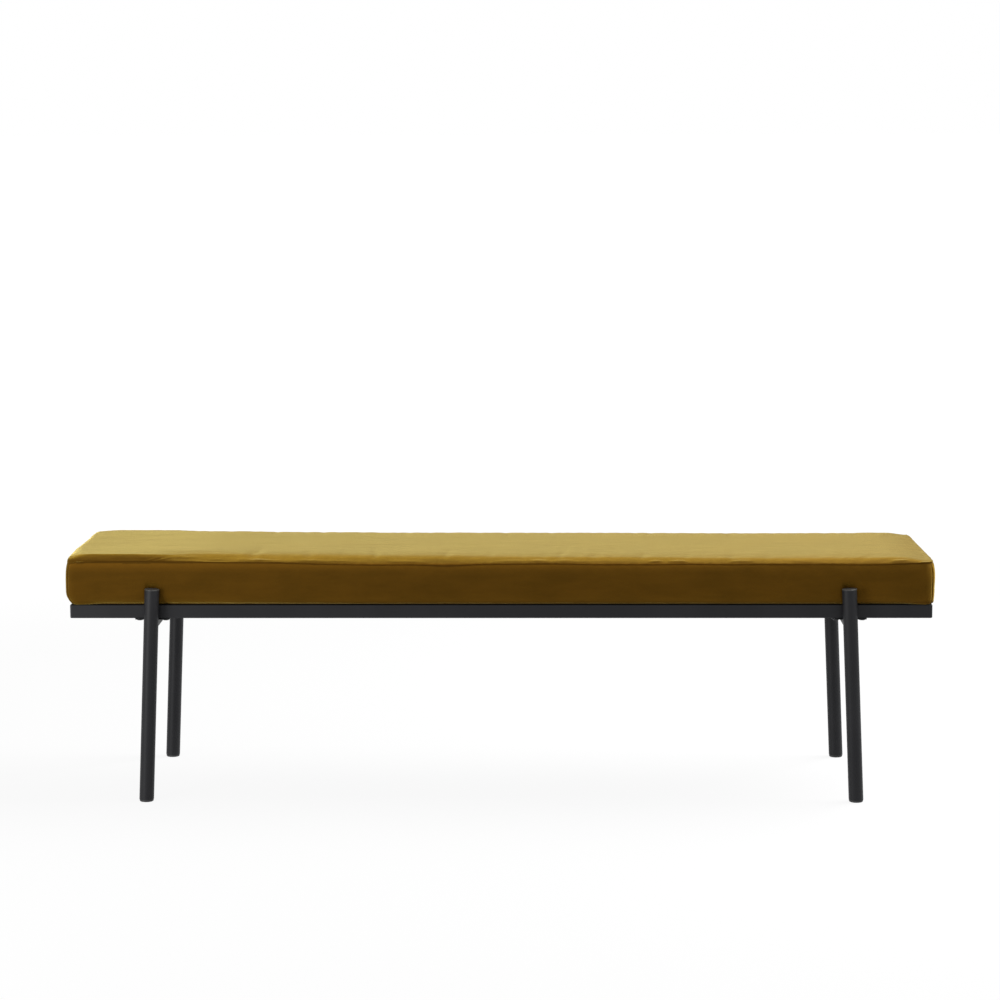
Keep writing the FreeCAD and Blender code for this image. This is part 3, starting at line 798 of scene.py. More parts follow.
    # Listed puckers of the front, in mm: place on the bench, length, height above the seam,
    # width and depth, and then the lean. Below them are the ranges of the others.
    front_puckers: Sequence[Sequence[float]] = (
        (-757, 60, 14, 8, -0.5, 0.6),
        (-705, 46, 15, 8, -0.5, -1.0),
        (-672, 96, 7, 7, 0.8, 0.8),
        (-634, 9, 8, 11, -1.3, 1.9),
        (-619, 9, 8, 12, -1.3, 2.1),
        (-627, 8, 8, 11, 0.9, 2.0),
        (-576, 50, 20, 9, -1.3, 0.8),
        (-520, 60, 9, 8, 1.0, -1.0),
        (-443, 30, 13, 7, -0.9, 0.8),
        (-345, 60, 13, 8, -0.8, -0.6),
        (-105, 100, 4, 4, 0.8, 0.0),
        (22, 60, 13, 8, -0.9, 0.5),
        (72, 40, 13, 8, -1.2, -0.8),
        (115, 34, 14, 8, -0.9, 0.9),
        (284, 26, 12, 7, -1.6, 0.6),
        (324, 34, 12, 7, -1.5, -0.7),
        (440, 46, 13, 8, -1.3, 0.8),
        (560, 50, 5, 6, 0.8, 0.0),
        (728, 34, 13, 7, -1.4, 0.5),
    )
    on_top: PuckerRange = PuckerRange(46, (18, 70), (10, 15), (4, 8), (-0.8, 0.2), (-1.5, 1.5))
    by_seam: PuckerRange = PuckerRange(60, (14, 60), (5, 12), (5, 10), (-0.5, 0.7), (-1.2, 1.2))
    by_hem: PuckerRange = PuckerRange(80, (10, 55), (4, 11), (4, 9), (-0.6, 1.1), (-1.5, 1.5))
    broad: PuckerRange = PuckerRange(26, (90, 260), (20, 55), (25, 45), (-0.7, 0.7), (-0.8, 0.8))

    def lines(self, half: float, step: float, fine: float, near: Sequence[float]) -> np.ndarray:
        """Places of grid lines between two ends, closer near the ends and near given places.

        The rolled edge takes lines at equal turns of its quarter circle. Between the edges the
        number of lines in a metre is one over the step, raised near each given place by a bell
        curve, and the lines are where its running total passes whole numbers.

        Args:
            half: Half the distance between the ends.
            step: The usual step.
            fine: The step at the given places.
            near: Those places.

        Returns:
            The places, rising.
        """
        turns = np.linspace(0, math.pi / 2, ROLL_LINES)
        beyond = self.roll + np.array(self.past_roll)
        edge = np.concatenate([self.roll * (1 - np.cos(turns)), beyond])
        inner = half - edge[-1] - step * 0.7
        probe = np.linspace(-inner, inner, 4001)
        density = np.full_like(probe, 1 / step)
        for place in near:
            density += (1 / fine - 1 / step) * bell(probe - place, self.fine_width)
        total = np.concatenate([[0], np.cumsum((density[1:] + density[:-1]) / 2 * np.diff(probe))])
        count = max(2, round(total[-1]))
        middle = np.interp(np.linspace(0, total[-1], count + 1), total, probe)
        return np.concatenate([-half + edge, middle, (half - edge)[::-1]])

    def section_lines(self, step: float) -> np.ndarray:
        """Heights of the lines round the sides: close at the seam and the hem, even between."""
        beside = self.seam_level - np.array([0, 0.5, 1.1, 1.9, 3.0, 4.6, 6.8]) * MM
        turns = np.linspace(math.pi / 2, 0, HEM_LINES)
        hem = self.base + self.hem * (1 - np.cos(turns))
        count = round((beside[-1] - hem[0]) / step)
        between = np.linspace(beside[-1], hem[0], count + 1)[1:-1]
        return np.concatenate([beside, between, hem])

    def grid(self, step: float, fine: float) -> CushionGrid:
        """A grid of a given step, finer beside the legs and the narrow puckers."""
        near = sorted({round(foot.x, 4) for foot, _ in self.legs} | set(self.fine_places))
        return CushionGrid(
            self.lines(self.half_length, step, fine, near),
            self.lines(self.half_depth, step, fine, ()),
            self.section_lines(step),
        )

    def outline(
        self, x: np.ndarray, y: np.ndarray, past: np.ndarray, corner: float | np.ndarray
    ) -> tuple[np.ndarray, np.ndarray]:
        """Carry plan points of the frame's rectangle to a rounded, larger or smaller one.

        Outside its corners the rectangle is stretched evenly. In a corner the unit square (p, q)
        goes to the quarter disc: p times the root of 1 less q squared over 2, and the same for q.

        Args:
            x: Places along the bench.
            y: Places across it.
            past: How far past the frame the new outline lies.
            corner: The new outline's corner radius.

        Returns:
            The new places along and across.
        """
        zone = self.corner
        p = np.clip((np.abs(x) - (self.half_length - zone)) / zone, 0, 1)
        q = np.clip((np.abs(y) - (self.half_depth - zone)) / zone, 0, 1)
        even_x = np.clip(np.abs(x) / (self.half_length - zone), 0, 1)
        even_y = np.clip(np.abs(y) / (self.half_depth - zone), 0, 1)
        new_x = even_x * (self.half_length + past - corner) + corner * p * np.sqrt(1 - q * q / 2)
        new_y = even_y * (self.half_depth + past - corner) + corner * q * np.sqrt(1 - p * p / 2)
        return np.sign(x) * new_x, np.sign(y) * new_y

    def corner_at(self, x: np.ndarray, y: np.ndarray) -> np.ndarray:
        """The seam's corner radius for plan places: the back right corner is less round."""
        return self.corner + self.back_corner * smooth(x, 0.2, 0.6) * smooth(y, -0.05, 0.12)

    def at_end(self, x: np.ndarray) -> np.ndarray:
        """1 at the bench's ends, falling softly to 0 away from them."""
        return smooth(np.abs(x), self.half_length - self.end_zone, self.half_length)

    def end_past(self, x: np.ndarray, y: np.ndarray) -> np.ndarray:
        """How much farther out the ends' seams stand: the left bulges, the right draws in."""
        left = self.end_shift + self.end_bulge * bell(y - self.bulge_middle, self.bulge_width)
        right = -self.end_shift - self.end_waist * smooth(y, -self.waist_half, self.waist_half)
        return self.at_end(x) * np.where(x < 0, left, right)

    def side_swell(
        self, height: np.ndarray, round_x: np.ndarray, round_y: np.ndarray
    ) -> np.ndarray:
        """How far the sides stand past the frame.

        Full between two levels, the swell falls with the square of the distance above and below
        them. Over the hem it turns in to the tucked lower edge on a quarter of the curve whose
        two shares, each to the power of the bend, add up to 1. The right end lies flatter than the
        rest, and the ends are tucked in less.

        Args:
            height: The heights, in rows.
            round_x: The places along the bench, round the frame's outline.
            round_y: The places across it.

        Returns:
            The distance past the frame, for each height and place.
        """
        height, x = height[:, None], round_x[None]
        at_end = self.at_end(x)
        at_right = at_end * (x > 0)
        above = np.clip((height - self.swell_top) / (self.seam_level - self.swell_top), 0, None)
        below = np.clip((self.swell_low - height) / (self.swell_low - self.base), 0, None)
        swell = self.swell + self.end_swell * at_end - self.right_flat * at_right
        seam_swell = self.seam_swell + self.end_past(x, round_y[None])
        loss = self.lower_loss + self.end_loss * at_end - self.right_loss * at_right
        full = swell - (swell - seam_swell) * above**2 - loss * below**2
        left = 1 - smooth(x, *self.left_zone)
        hem = self.hem + self.left_hem * left * (1 - at_end)
        rest = 1 - np.clip((height - self.base) / hem, 0, 1)
        tuck = self.tuck + (self.end_tuck - self.tuck) * at_end
        bend = self.hem_bend + self.left_bend * left + self.end_bend * at_end
        return full - (tuck + full) * (1 - (1 - rest**bend) ** (1 / bend))

    def from_seam(self, x: np.ndarray, y: np.ndarray) -> np.ndarray:
        """How far in from the seam plan points lie, on level lines whose corners grow rounder.

        The level line at distance d is the seam's outline drawn in by d, with the corner radius
        r + g d. In a corner, with u and v measured from the centre of the seam's arc and k = 1 + g,
        d is the greater root of (u + k d)^2 + (v + k d)^2 = (r + g d)^2.

        Args:
            x: Places along the bench.
            y: Places across it.

        Returns:
            The distances.
        """
        front_left, front_right, back_right, back_left = self.corner_growth
        at_front = np.where(x < 0, front_left, front_right)
        at_back = np.where(x < 0, back_left, back_right)
        radius, growth = self.corner_at(x, y), np.where(y < 0, at_front, at_back)
        u = np.abs(x) - (self.half_length + self.seam_swell + self.end_past(x, y) - radius)
        v = np.abs(y) - (self.half_depth + self.seam_swell - radius)
        straight = np.clip(radius - np.maximum(u, v), 0, None)
        k = 1 + growth
        square = 2 * k * k - growth * growth
        linear = 2 * (k * (u + v) - growth * radius)
        rest = u * u + v * v - radius * radius
        root = (-linear + np.sqrt(np.clip(linear**2 - 4 * square * rest, 0, None))) / (2 * square)
        in_corner = (u + k * straight > 0) & (v + k * straight > 0)
        return np.where(in_corner, np.clip(root, 0, straight), straight)

    def lifted(self, x: np.ndarray, y: np.ndarray) -> np.ndarray:
        """Where the fuller filling at the front left corner lifts the crown, from 0 to 1."""
        along = smooth(x, *(place - self.half_length for place in self.lift_start))
        along = along * (1 - smooth(x, *self.lift_end))
        return along * (1 - smooth(y, *self.lift_back))

    def top_height(self, x: np.ndarray, y: np.ndarray) -> np.ndarray:
        """Height of the top panel over the plan.

        A small quarter circle turns up from the seam. On it stands the crown: its rise times 1 less
        a power of the share of the reach that is left. The ends have their own roll and reach.
        """
        distance = self.from_seam(x, y)
        rise = self.edge_value(EdgeSize.RISE, x) + self.front_lift * self.lifted(x, y)
        from_end = self.half_length - np.abs(x)
        nearer = (self.half_depth - np.abs(y)) - from_end
        at_end = smooth(nearer, -self.end_mitre, self.end_mitre)
        at_end = at_end * (1 - smooth(from_end, *self.end_fade))
        roll = self.small_roll + (np.where(x < 0, *self.end_rolls) - self.small_roll) * at_end
        reach = self.edge_value(EdgeSize.REACH, x)
        reach = reach + (np.where(x < 0, *self.end_reaches) - reach) * at_end
        turned = roll * np.sqrt(1 - (1 - np.clip(distance / roll, 0, 1)) ** 2)
        left_over = (1 - np.clip(distance / reach, 0, 1)) ** self.edge_value(EdgeSize.POWER, x)
        return self.seam_level + turned + (rise - roll) * (1 - left_over)

    def edge_value(self, size: EdgeSize, x: np.ndarray) -> np.ndarray:
        """One size of the top panel's edges along the bench, with soft steps between."""
        sizes = [getattr(edge, size.value) for edge in self.edges]
        value = np.full_like(x, sizes[0])
        for i, change in enumerate(np.diff(sizes)):
            value = value + change * smooth(x, self.edges[i].place, self.edges[i + 1].place)
        return value

    def round_plan(self, grid: CushionGrid) -> tuple[np.ndarray, np.ndarray]:
        """The frame's outline as a ring of the grid's line ends, from the front left corner."""
        x, y = grid.x, grid.y
        round_x = np.concatenate(
            [x[:-1], np.full(len(y) - 1, x[-1]), x[:0:-1], np.full(len(y) - 1, x[0])]
        )
        round_y = np.concatenate(
            [np.full(len(x) - 1, y[0]), y[:-1], np.full(len(x) - 1, y[-1]), y[:0:-1]]
        )
        return round_x, round_y

    def round_length(self, grid: CushionGrid) -> np.ndarray:
        """The distance round the frame's outline of each point of the ring."""
        round_x, round_y = self.round_plan(grid)
        steps = np.hypot(np.diff(round_x), np.diff(round_y))
        return np.concatenate([[0], np.cumsum(steps)])

    def plain_form(self, grid: CushionGrid) -> tuple[np.ndarray, np.ndarray]:
        """The cushion before its cloth is simulated.

        Args:
            grid: The lines to work it out on.

        Returns:
            The points of the top panel and the points of the sides.
        """
        plan_x, plan_y = np.meshgrid(grid.x, grid.y)
        flat_x, flat_y = plan_x.ravel(), plan_y.ravel()
        seam_past = self.side_swell(grid.section[:1], flat_x, flat_y).reshape(plan_x.shape)
        x, y = self.outline(plan_x, plan_y, seam_past, self.corner_at(plan_x, plan_y))
        top = np.stack([x, y, self.top_height(x, y)], axis=2)
        top[[0, -1], :, 2] = self.seam_level
        top[:, [0, -1], 2] = self.seam_level
        round_x, round_y = self.round_plan(grid)
        past = self.side_swell(grid.section, round_x, round_y)
        corner = self.corner_at(round_x, round_y)[None]
        x, y = self.outline(round_x[None], round_y[None], past, corner)
        sides = np.stack([x, y, np.broadcast_to(grid.section[:, None], x.shape)], axis=2)
        return top, sides

    def hidden_rows(self, grid: CushionGrid) -> np.ndarray:
        """The cover's turned edge and the foam's bed on the board, as rings of points."""
        gap = self.cover_gap
        low, turned = self.base + gap / 5, self.board_low - gap
        inner, beside = -self.turn_under, -self.board_inset + gap
        past = np.array([inner, inner, beside, beside])[:, None]
        height = np.array([low, turned, turned, self.board_high + gap])[:, None]
        round_x, round_y = self.round_plan(grid)
        x, y = self.outline(round_x[None], round_y[None], past, self.bed_corner)
        return np.stack([x, y, np.broadcast_to(height, x.shape)], axis=2)

    def ring_index(self, grid: CushionGrid) -> np.ndarray:
        """Numbers of the top panel's border points, in the order of the ring."""
        index = np.arange(len(grid.y) * len(grid.x)).reshape(len(grid.y), len(grid.x))
        return np.concatenate([index[0, :-1], index[:-1, -1], index[-1, :0:-1], index[:0:-1, 0]])

    def closed_mesh(
        self, grid: CushionGrid, top: np.ndarray, sides: np.ndarray
    ) -> tuple[np.ndarray, list[list[int]]]:
        """Join the top panel, the sides and the hidden rows to one closed form.

        Args:
            grid: The lines that both were made on.
            top: The top panel's points.
            sides: The sides' points. Their first row is the top panel's border.

        Returns:
            The points and faces.
        """
        under = self.hidden_rows(grid)
        rings = np.concatenate([sides[1:], under])
        count = top.shape[0] * top.shape[1]
        around = rings.shape[1]
        ring_numbers = count + np.arange(rings.shape[0] * around).reshape(-1, around)
        numbers = np.vstack([self.ring_index(grid), ring_numbers])
        index = np.arange(count).reshape(top.shape[:2])
        faces = grid_faces(index).tolist() + grid_faces(numbers[::-1], closed=True).tolist()
        faces += self._bed(numbers[-1], len(grid.x) - 1, len(grid.y) - 1)
        points = np.concatenate([top.reshape(-1, 3), rings.reshape(-1, 3)])
        return points, faces

    @staticmethod
    def _bed(ring: np.ndarray, across: int, deep: int) -> list[list[int]]:
        """Close the last ring with strips from front to back and one face at either end."""
        front, back = ring[: across + 1], ring[across + deep : 2 * across + deep + 1][::-1]
        right_end = ring[across - 1 : across + deep + 2]
        left_end = np.concatenate([ring[2 * across + deep - 1 :], ring[:2]])
        strips = [
            [int(back[i]), int(back[i + 1]), int(front[i + 1]), int(front[i])]
            for i in range(1, across - 1)
        ]
        return [*strips, right_end[::-1].tolist(), left_end[::-1].tolist()]

    def build(self, finish: Velvet) -> bpy.types.Object:
        """Make the cushion: form, simulated cloth, seams, dents and puckers.

        Args:
            finish: The velvet.

        Returns:
            The dressed piece.
        """
        grid = self.grid(self.usual_step, self.fine_step)
        top, sides = self.plain_form(grid)
        moved_top, moved_sides = self.simulated(grid)
        top += moved_top
        sides += moved_sides
        seam_top, seam_sides = self.sew(grid, top, sides)
        points, faces = self.closed_mesh(grid, top, sides)
        piece = new_piece("velvet_cushion", points, faces, finish.material())
        self.shade(piece, seam_top, seam_sides)
        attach(piece, "root")
        panels = [f"cover_{side}_panel" for side in ("top", "front", "back", "left", "right")]
        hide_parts(*panels, "wadding", "foam_core")
        return piece

    def simulated(self, grid: CushionGrid) -> tuple[np.ndarray, np.ndarray]:
        """How the cloth moves when the filling presses it out between its seams.

        A coarser copy of the form is run as cloth, and its movement is read back on the grid.

        Args:
            grid: The grid to give the movement on.

        Returns:
            The movement of the top panel's and of the sides' points.
        """
        coarse = self.grid(self.cloth_step, self.cloth_fine_step)
        top, sides = self.plain_form(coarse)
        points, faces = self.closed_mesh(coarse, top, sides)
        count = top.shape[0] * top.shape[1]
        moved = self.run_cloth(points, faces, coarse, count)
        length = np.linalg.norm(moved, axis=1, keepdims=True)
        mean, most = length.mean() / MM, length.max() / MM
        LOG.info("cloth moved by %.1f mm on average, %.1f mm at most", mean, most)
        cap = self.most_give
        moved *= cap * np.tanh(self.give * length / cap) / np.maximum(length, 1e-9)
        moved_top = moved[:count].reshape(top.shape)
        border = moved[self.ring_index(coarse)][None]
        around = sides.shape[1]
        rings = moved[count : count + (sides.shape[0] - 1) * around].reshape(-1, around, 3)
        moved_sides = np.concatenate([border, rings])
        calm = smooth(coarse.x, *(place - self.half_length for place in self.calm_end))
        moved_top = moved_top * calm[None, :, None]
        moved_top = resample(moved_top, coarse.y, grid.y)
        moved_top = resample(moved_top.swapaxes(0, 1), coarse.x, grid.x).swapaxes(0, 1)
        moved_sides = resample(moved_sides, -coarse.section, -grid.section)
        there, here = self.round_length(coarse), self.round_length(grid)
        closed = np.concatenate([moved_sides, moved_sides[:, :1]], axis=1)
        there = np.append(there, self.whole())
        moved_sides = resample(closed.swapaxes(0, 1), there, here).swapaxes(0, 1)
        return moved_top, moved_sides

    def run_cloth(
        self, points: np.ndarray, faces: list[list[int]], coarse: CushionGrid, count: int
    ) -> np.ndarray:
        """Run the closed form as cloth under pressure, held at its seams and underneath.

        Args:
            points: The form's points.
            faces: Its faces.
            coarse: The grid that it was made on.
            count: How many of the points are the top panel's.

        Returns:
            How far each point moved.
        """
        around = len(self.round_plan(coarse)[0])
        rows = np.repeat(np.arange((len(points) - count) // around), around)
        free_rows = len(coarse.section) - HEM_LINES - 1
        held = np.zeros(len(points))
        held[count:][rows >= free_rows] = 1
        held[self.ring_index(coarse)] = 1
        rng = np.random.default_rng(self.seed)
        start = points + rng.normal(0, self.cloth_noise, points.shape) * (1 - held)[:, None]
        body = new_piece("cushion_cloth", start, faces, bpy.data.materials.new("cloth_trial"))
        group = body.vertex_groups.new(name="held")
        group.add(np.flatnonzero(held).tolist(), 1, "ADD")
        cloth = body.modifiers.new("cloth", "CLOTH")
        settings = {
            "quality": 6,
            "mass": 0.3,
            "tension_stiffness": 20,
            "compression_stiffness": 20,
            "shear_stiffness": 8,
            "bending_stiffness": 0.6,
            "vertex_group_mass": "held",
            "use_pressure": True,
            "uniform_pressure_force": 4,
            "shrink_min": -0.012,
            "shrink_max": -0.012,
        }
        for name, value in settings.items():
            setattr(cloth.settings, name, value)
        cloth.settings.effector_weights.gravity = 0
        scene = bpy.context.scene
        for step in range(1, self.cloth_frames + 1):
            scene.frame_set(step)
        depsgraph = bpy.context.evaluated_depsgraph_get()
        result = body.evaluated_get(depsgraph).to_mesh()
        after = np.empty(len(points) * 3)
        result.vertices.foreach_get("co", after)
        scene.frame_set(1)
        mesh = body.data
        bpy.data.objects.remove(body)
        bpy.data.meshes.remove(mesh)
        return after.reshape(-1, 3) - points

    def sew(
        self, grid: CushionGrid, top: np.ndarray, sides: np.ndarray
    ) -> tuple[np.ndarray, np.ndarray]:
        """Press the seams in, dent the sides round the legs and add the puckers, in place.

        Args:
            grid: The lines of both grids of points.
            top: The top panel's points.
            sides: The sides' points.

        Returns:
            How near each point lies to a seam, from 0 to 1, of the top panel and of the sides,
            with painted shade where the top sags over the seam and over the hem's fold.
        """
        around = self.round_length(grid)
        plan_x, plan_y = np.meshgrid(grid.x, grid.y)
        climb = self.climb(plan_x, plan_y)
        fall = np.broadcast_to((self.seam_level - grid.section)[:, None], sides.shape[:2])
        outward_top = grid_normals(top)
        outward_sides = -grid_normals(sides, closed=True)
        along_top = self.along_seam(plan_x, plan_y)
        along_sides = np.broadcast_to(around[None], sides.shape[:2])
        for pucker in self.puckers_of_top():
            top -= outward_top * self.dent(pucker, along_top, climb)[..., None]
        for pucker in self.puckers_of_sides():
            sides -= outward_sides * self.dent(pucker, along_sides, fall)[..., None]
        upright = self.from_corner(around)[None]
        press_top, press_sides = (
            self.groove * bell(away, groove) + self.seam_draw * bell(away, drawn)
            for away, groove, drawn in zip((climb, fall), self.groove_widths, self.draw_widths)
        )
        corner_press = self.corner_groove * bell(upright, self.corner_width)
        press_sides = np.maximum(press_sides, corner_press)
        ring = self.outline(*self.round_plan(grid), 0.0, self.corner)
        top += self.inward(top[..., 0], top[..., 1]) * press_top[..., None]
        sides += self.inward(*ring)[None] * press_sides[..., None]
        self.wander(top, along_top, climb)
        self.wander(sides, along_sides, fall)
        self.clear_legs(sides)
        sides[0] = top.reshape(-1, 3)[self.ring_index(grid)]
        strength, width = self.seam_look(along_top)
        near_top = strength * bell(climb, width + 0.4 * MM)
        strength, width = self.seam_look(along_sides)
        near_corner = self.corner_strength * bell(upright, self.corner_shade)
        near_sides = np.maximum(strength * bell(fall, width), near_corner)
        # Painted shade over the hem's fold, stronger towards the right: darker, and without sheen.
        above_fold = np.clip(grid.section - self.base - self.hem, 0, None)
        fold_shade = 0.5 + 0.3 * smooth(self.round_plan(grid)[0], -0.5, -0.25)
        painted_hem_shade = bell(above_fold, self.fold)[:, None] * fold_shade
        return near_top, np.maximum(near_sides, painted_hem_shade)

    def climb(self, plan_x: np.ndarray, plan_y: np.ndarray) -> np.ndarray:
        """How far up from the seam plan points of the frame lie, over the rolled edge."""
        edge_x, edge_y = self.half_length - np.abs(plan_x), self.half_depth - np.abs(plan_y)
        from_edge = np.minimum(edge_x, edge_y)
        turned = self.roll * np.arccos(np.clip(1 - from_edge / self.roll, -1, 1))
        level = from_edge + self.roll * (math.pi / 2 - 1)
        return np.where(from_edge < self.roll, turned, level)

    def seam_look(self, along: np.ndarray) -> tuple[np.ndarray, np.ndarray]:
        """How dark and how wide the seam's crushed pile is, round the seam.

        It is widest where the top panel sags over the seam, left of the middle, where the widening
        is painted shade, and faint where the roll hides it.

        Args:
            along: Places, as distances round the seam from the front left corner.

        Returns:
            The strength, from 0 to 1, and the width.
        """
        place = along - self.half_length
        extra, sag_width = self.sag_shade
        faint = 0.6 * bell(place + 535 * MM, 85 * MM)
        faint = faint + 0.4 * smooth(place, 0.5, 0.6) * (1 - smooth(place, 0.66, 0.72))
        width = self.seam_width + extra * bell(place - self.sag_place, sag_width)
        return self.seam_strength - faint, width

    def along_seam(self, x: np.ndarray, y: np.ndarray) -> np.ndarray:
        """The distance round the seam of the nearest seam point, for plan places."""
        length, depth = 2 * self.half_length, 2 * self.half_depth
        front, back = y + self.half_depth, self.half_depth - y
        left, right = x + self.half_length, self.half_length - x
        nearest = np.argmin(np.stack([front, right, back, left]), axis=0)
        places = [left, length + front, length + depth + right, 2 * length + depth + back]
        return np.choose(nearest, places)

    def from_corner(self, around: np.ndarray) -> np.ndarray:
        """The distance round the seam to the nearest corner."""
        length, depth = 2 * self.half_length, 2 * self.half_depth
        corners = np.array([0, length, length + depth, 2 * length + depth, 2 * (length + depth)])
        return np.abs(around[:, None] - corners).min(axis=1)

    def inward(self, x: np.ndarray, y: np.ndarray) -> np.ndarray:
        """Unit plan directions into the cushion, away from the nearest stretch or corner arc."""
        zone = self.corner
        past_x = np.clip(np.abs(x) - (self.half_length - zone), 0, None) * np.sign(x)
        past_y = np.clip(np.abs(y) - (self.half_depth - zone), 0, None) * np.sign(y)
        size = np.maximum(np.hypot(past_x, past_y), 1e-9)
        inside = (np.abs(past_x) + np.abs(past_y)) > 0
        direction = np.stack([-past_x / size, -past_y / size, np.zeros_like(x)], axis=-1)
        return direction * inside[..., None]

    @staticmethod
    def dent(pucker: Pucker, along: np.ndarray, across: np.ndarray) -> np.ndarray:
        """Depth of a pucker: a bell along the seam times a bell across the panel."""
        shift = along - pucker.along - pucker.lean * (across - pucker.above)
        lengthwise = bell(2.2 * shift, pucker.length, 4)
        crosswise = bell(1.9 * (across - pucker.above), pucker.width)
        return pucker.depth * lengthwise * crosswise * smooth(across, 0, 1.5 * MM)

    def whole(self) -> float:
        """The length round the frame's outline."""
        return 4 * (self.half_length + self.half_depth)

    def puckers_of_top(self) -> list[Pucker]:
        """Puckers of the top panel: the front ones listed, the others drawn by chance.

        The listed ones start from the middle of the bench. The drawn ones are doubled, a little
        shallower, where they lie away from the front.
        """
        front = [
            Pucker(place * MM + self.half_length, *(size * MM for size in sizes), lean)
            for place, *sizes, lean in self.front_puckers
        ]
        rest = self.on_top.draw(np.random.default_rng(self.seed), self.whole())
        away = [pucker for pucker in rest if pucker.along > 2 * self.half_length]
        return front + rest + [replace(pucker, depth=pucker.depth * 0.8) for pucker in away]

    def puckers_of_sides(self) -> list[Pucker]:
        """Puckers of the sides, under the seam, over the hem and broad ones, all by chance."""
        rng, whole = np.random.default_rng(self.seed + 1), self.whole()
        under_seam = self.by_seam.draw(rng, whole)
        over_hem = self.by_hem.draw(rng, whole, self.seam_level - self.base, -1)
        return under_seam + over_hem + self.broad.draw(rng, whole)

    def wander(self, points: np.ndarray, along: np.ndarray, away: np.ndarray) -> None:
        """Let the seam rise and fall: a dip along the front and a sum of four slow sines."""
        turn = 2 * math.pi * along / self.whole()
        fall = (self.seam_dip + self.seam_lift) * smooth(along, 120 * MM, 640 * MM)
        rise = (self.seam_lift - fall) / MM
        end = 2 * self.half_length
        rise = rise * (1 - smooth(along, end - 120 * MM, end)) * smooth(along, -2 * MM, 24 * MM)
        for size, times, start in self.seam_waves:
            rise = rise + size * np.sin(times * turn + start)
        from_sag = along - self.half_length - self.sag_place
        rise = rise - self.seam_sag * bell(from_sag, self.sag_width)
        points[..., 2] += rise * MM * bell(away, self.wander_width)

    def clear_legs(self, sides: np.ndarray) -> None:
        """Dent the sides round the leg tops, so that the cloth bears on them and no more.

        A point keeps outside the leg's circle, drawn inward from the side. The soft maximum of the
        two depths rounds the dent's edge, and above the leg the dent fades out.
        """
        for foot, head in self.legs:
            share = (sides[..., 2] - foot.z) / (head.z - foot.z)
            axis_x = foot.x + (head.x - foot.x) * share
            out = math.copysign(1, foot.y)
            radius = self.leg_radius + self.leg_clearance
            offset = np.abs(sides[..., 0] - axis_x)
            chord = np.sqrt(np.clip(radius**2 - offset**2, 0, None))
            limit = abs(foot.y) - chord + self.leg_slope * np.clip(offset - radius, 0, None)
            depth = sides[..., 1] * out
            blend = self.leg_blend
            soft = -blend * np.log(np.exp(-depth / blend) + np.exp(-limit / blend))
            facing = depth > self.half_depth - 4 * MM
            fade = 1 - smooth(sides[..., 2] - head.z, *self.leg_fade)
            moved = np.where(facing, (soft - depth) * fade, 0)
            sides[..., 1] += np.minimum(moved, 0) * out

    def shade(self, piece: bpy.types.Object, top: np.ndarray, sides: np.ndarray) -> None:
        """Store two numbers for the velvet's painted shade and painted highlight, each from 0 to 1,
        at every vertex.

        One is how near the vertex lies to a seam, where the pile is crushed, with painted shade
        where the top sags over the seam and over the hem's fold. The other is a painted highlight:
        a bell of the drop under the seam of the long sides, fading towards the right end.

        Args:
            piece: The cushion.
            top: How near the top panel's points lie to a seam.
            sides: How near the sides' points lie to a seam, with the painted shade over the hem's
                fold.
        """
        count = len(piece.data.vertices)
        known = np.concatenate([top.ravel(), sides[1:].ravel()])
        store(piece, "seam", np.concatenate([known, np.zeros(count - len(known))]))
        places = np.zeros(3 * count, np.float32)
        piece.data.vertices.foreach_get("co", places)
        x, y, z = places.reshape(-1, 3).T
        # Painted highlight under the long sides' seam, fading towards the right end.
        drawn = bell(self.seam_level - z, self.painted_highlight_width) * (z < self.seam_level + 1 * MM)
        drawn = drawn * (np.abs(y) > self.half_depth - 1 * MM) * (1 - 0.8 * smooth(x, 0.3, 0.62))
        store(piece, "drawn", drawn)


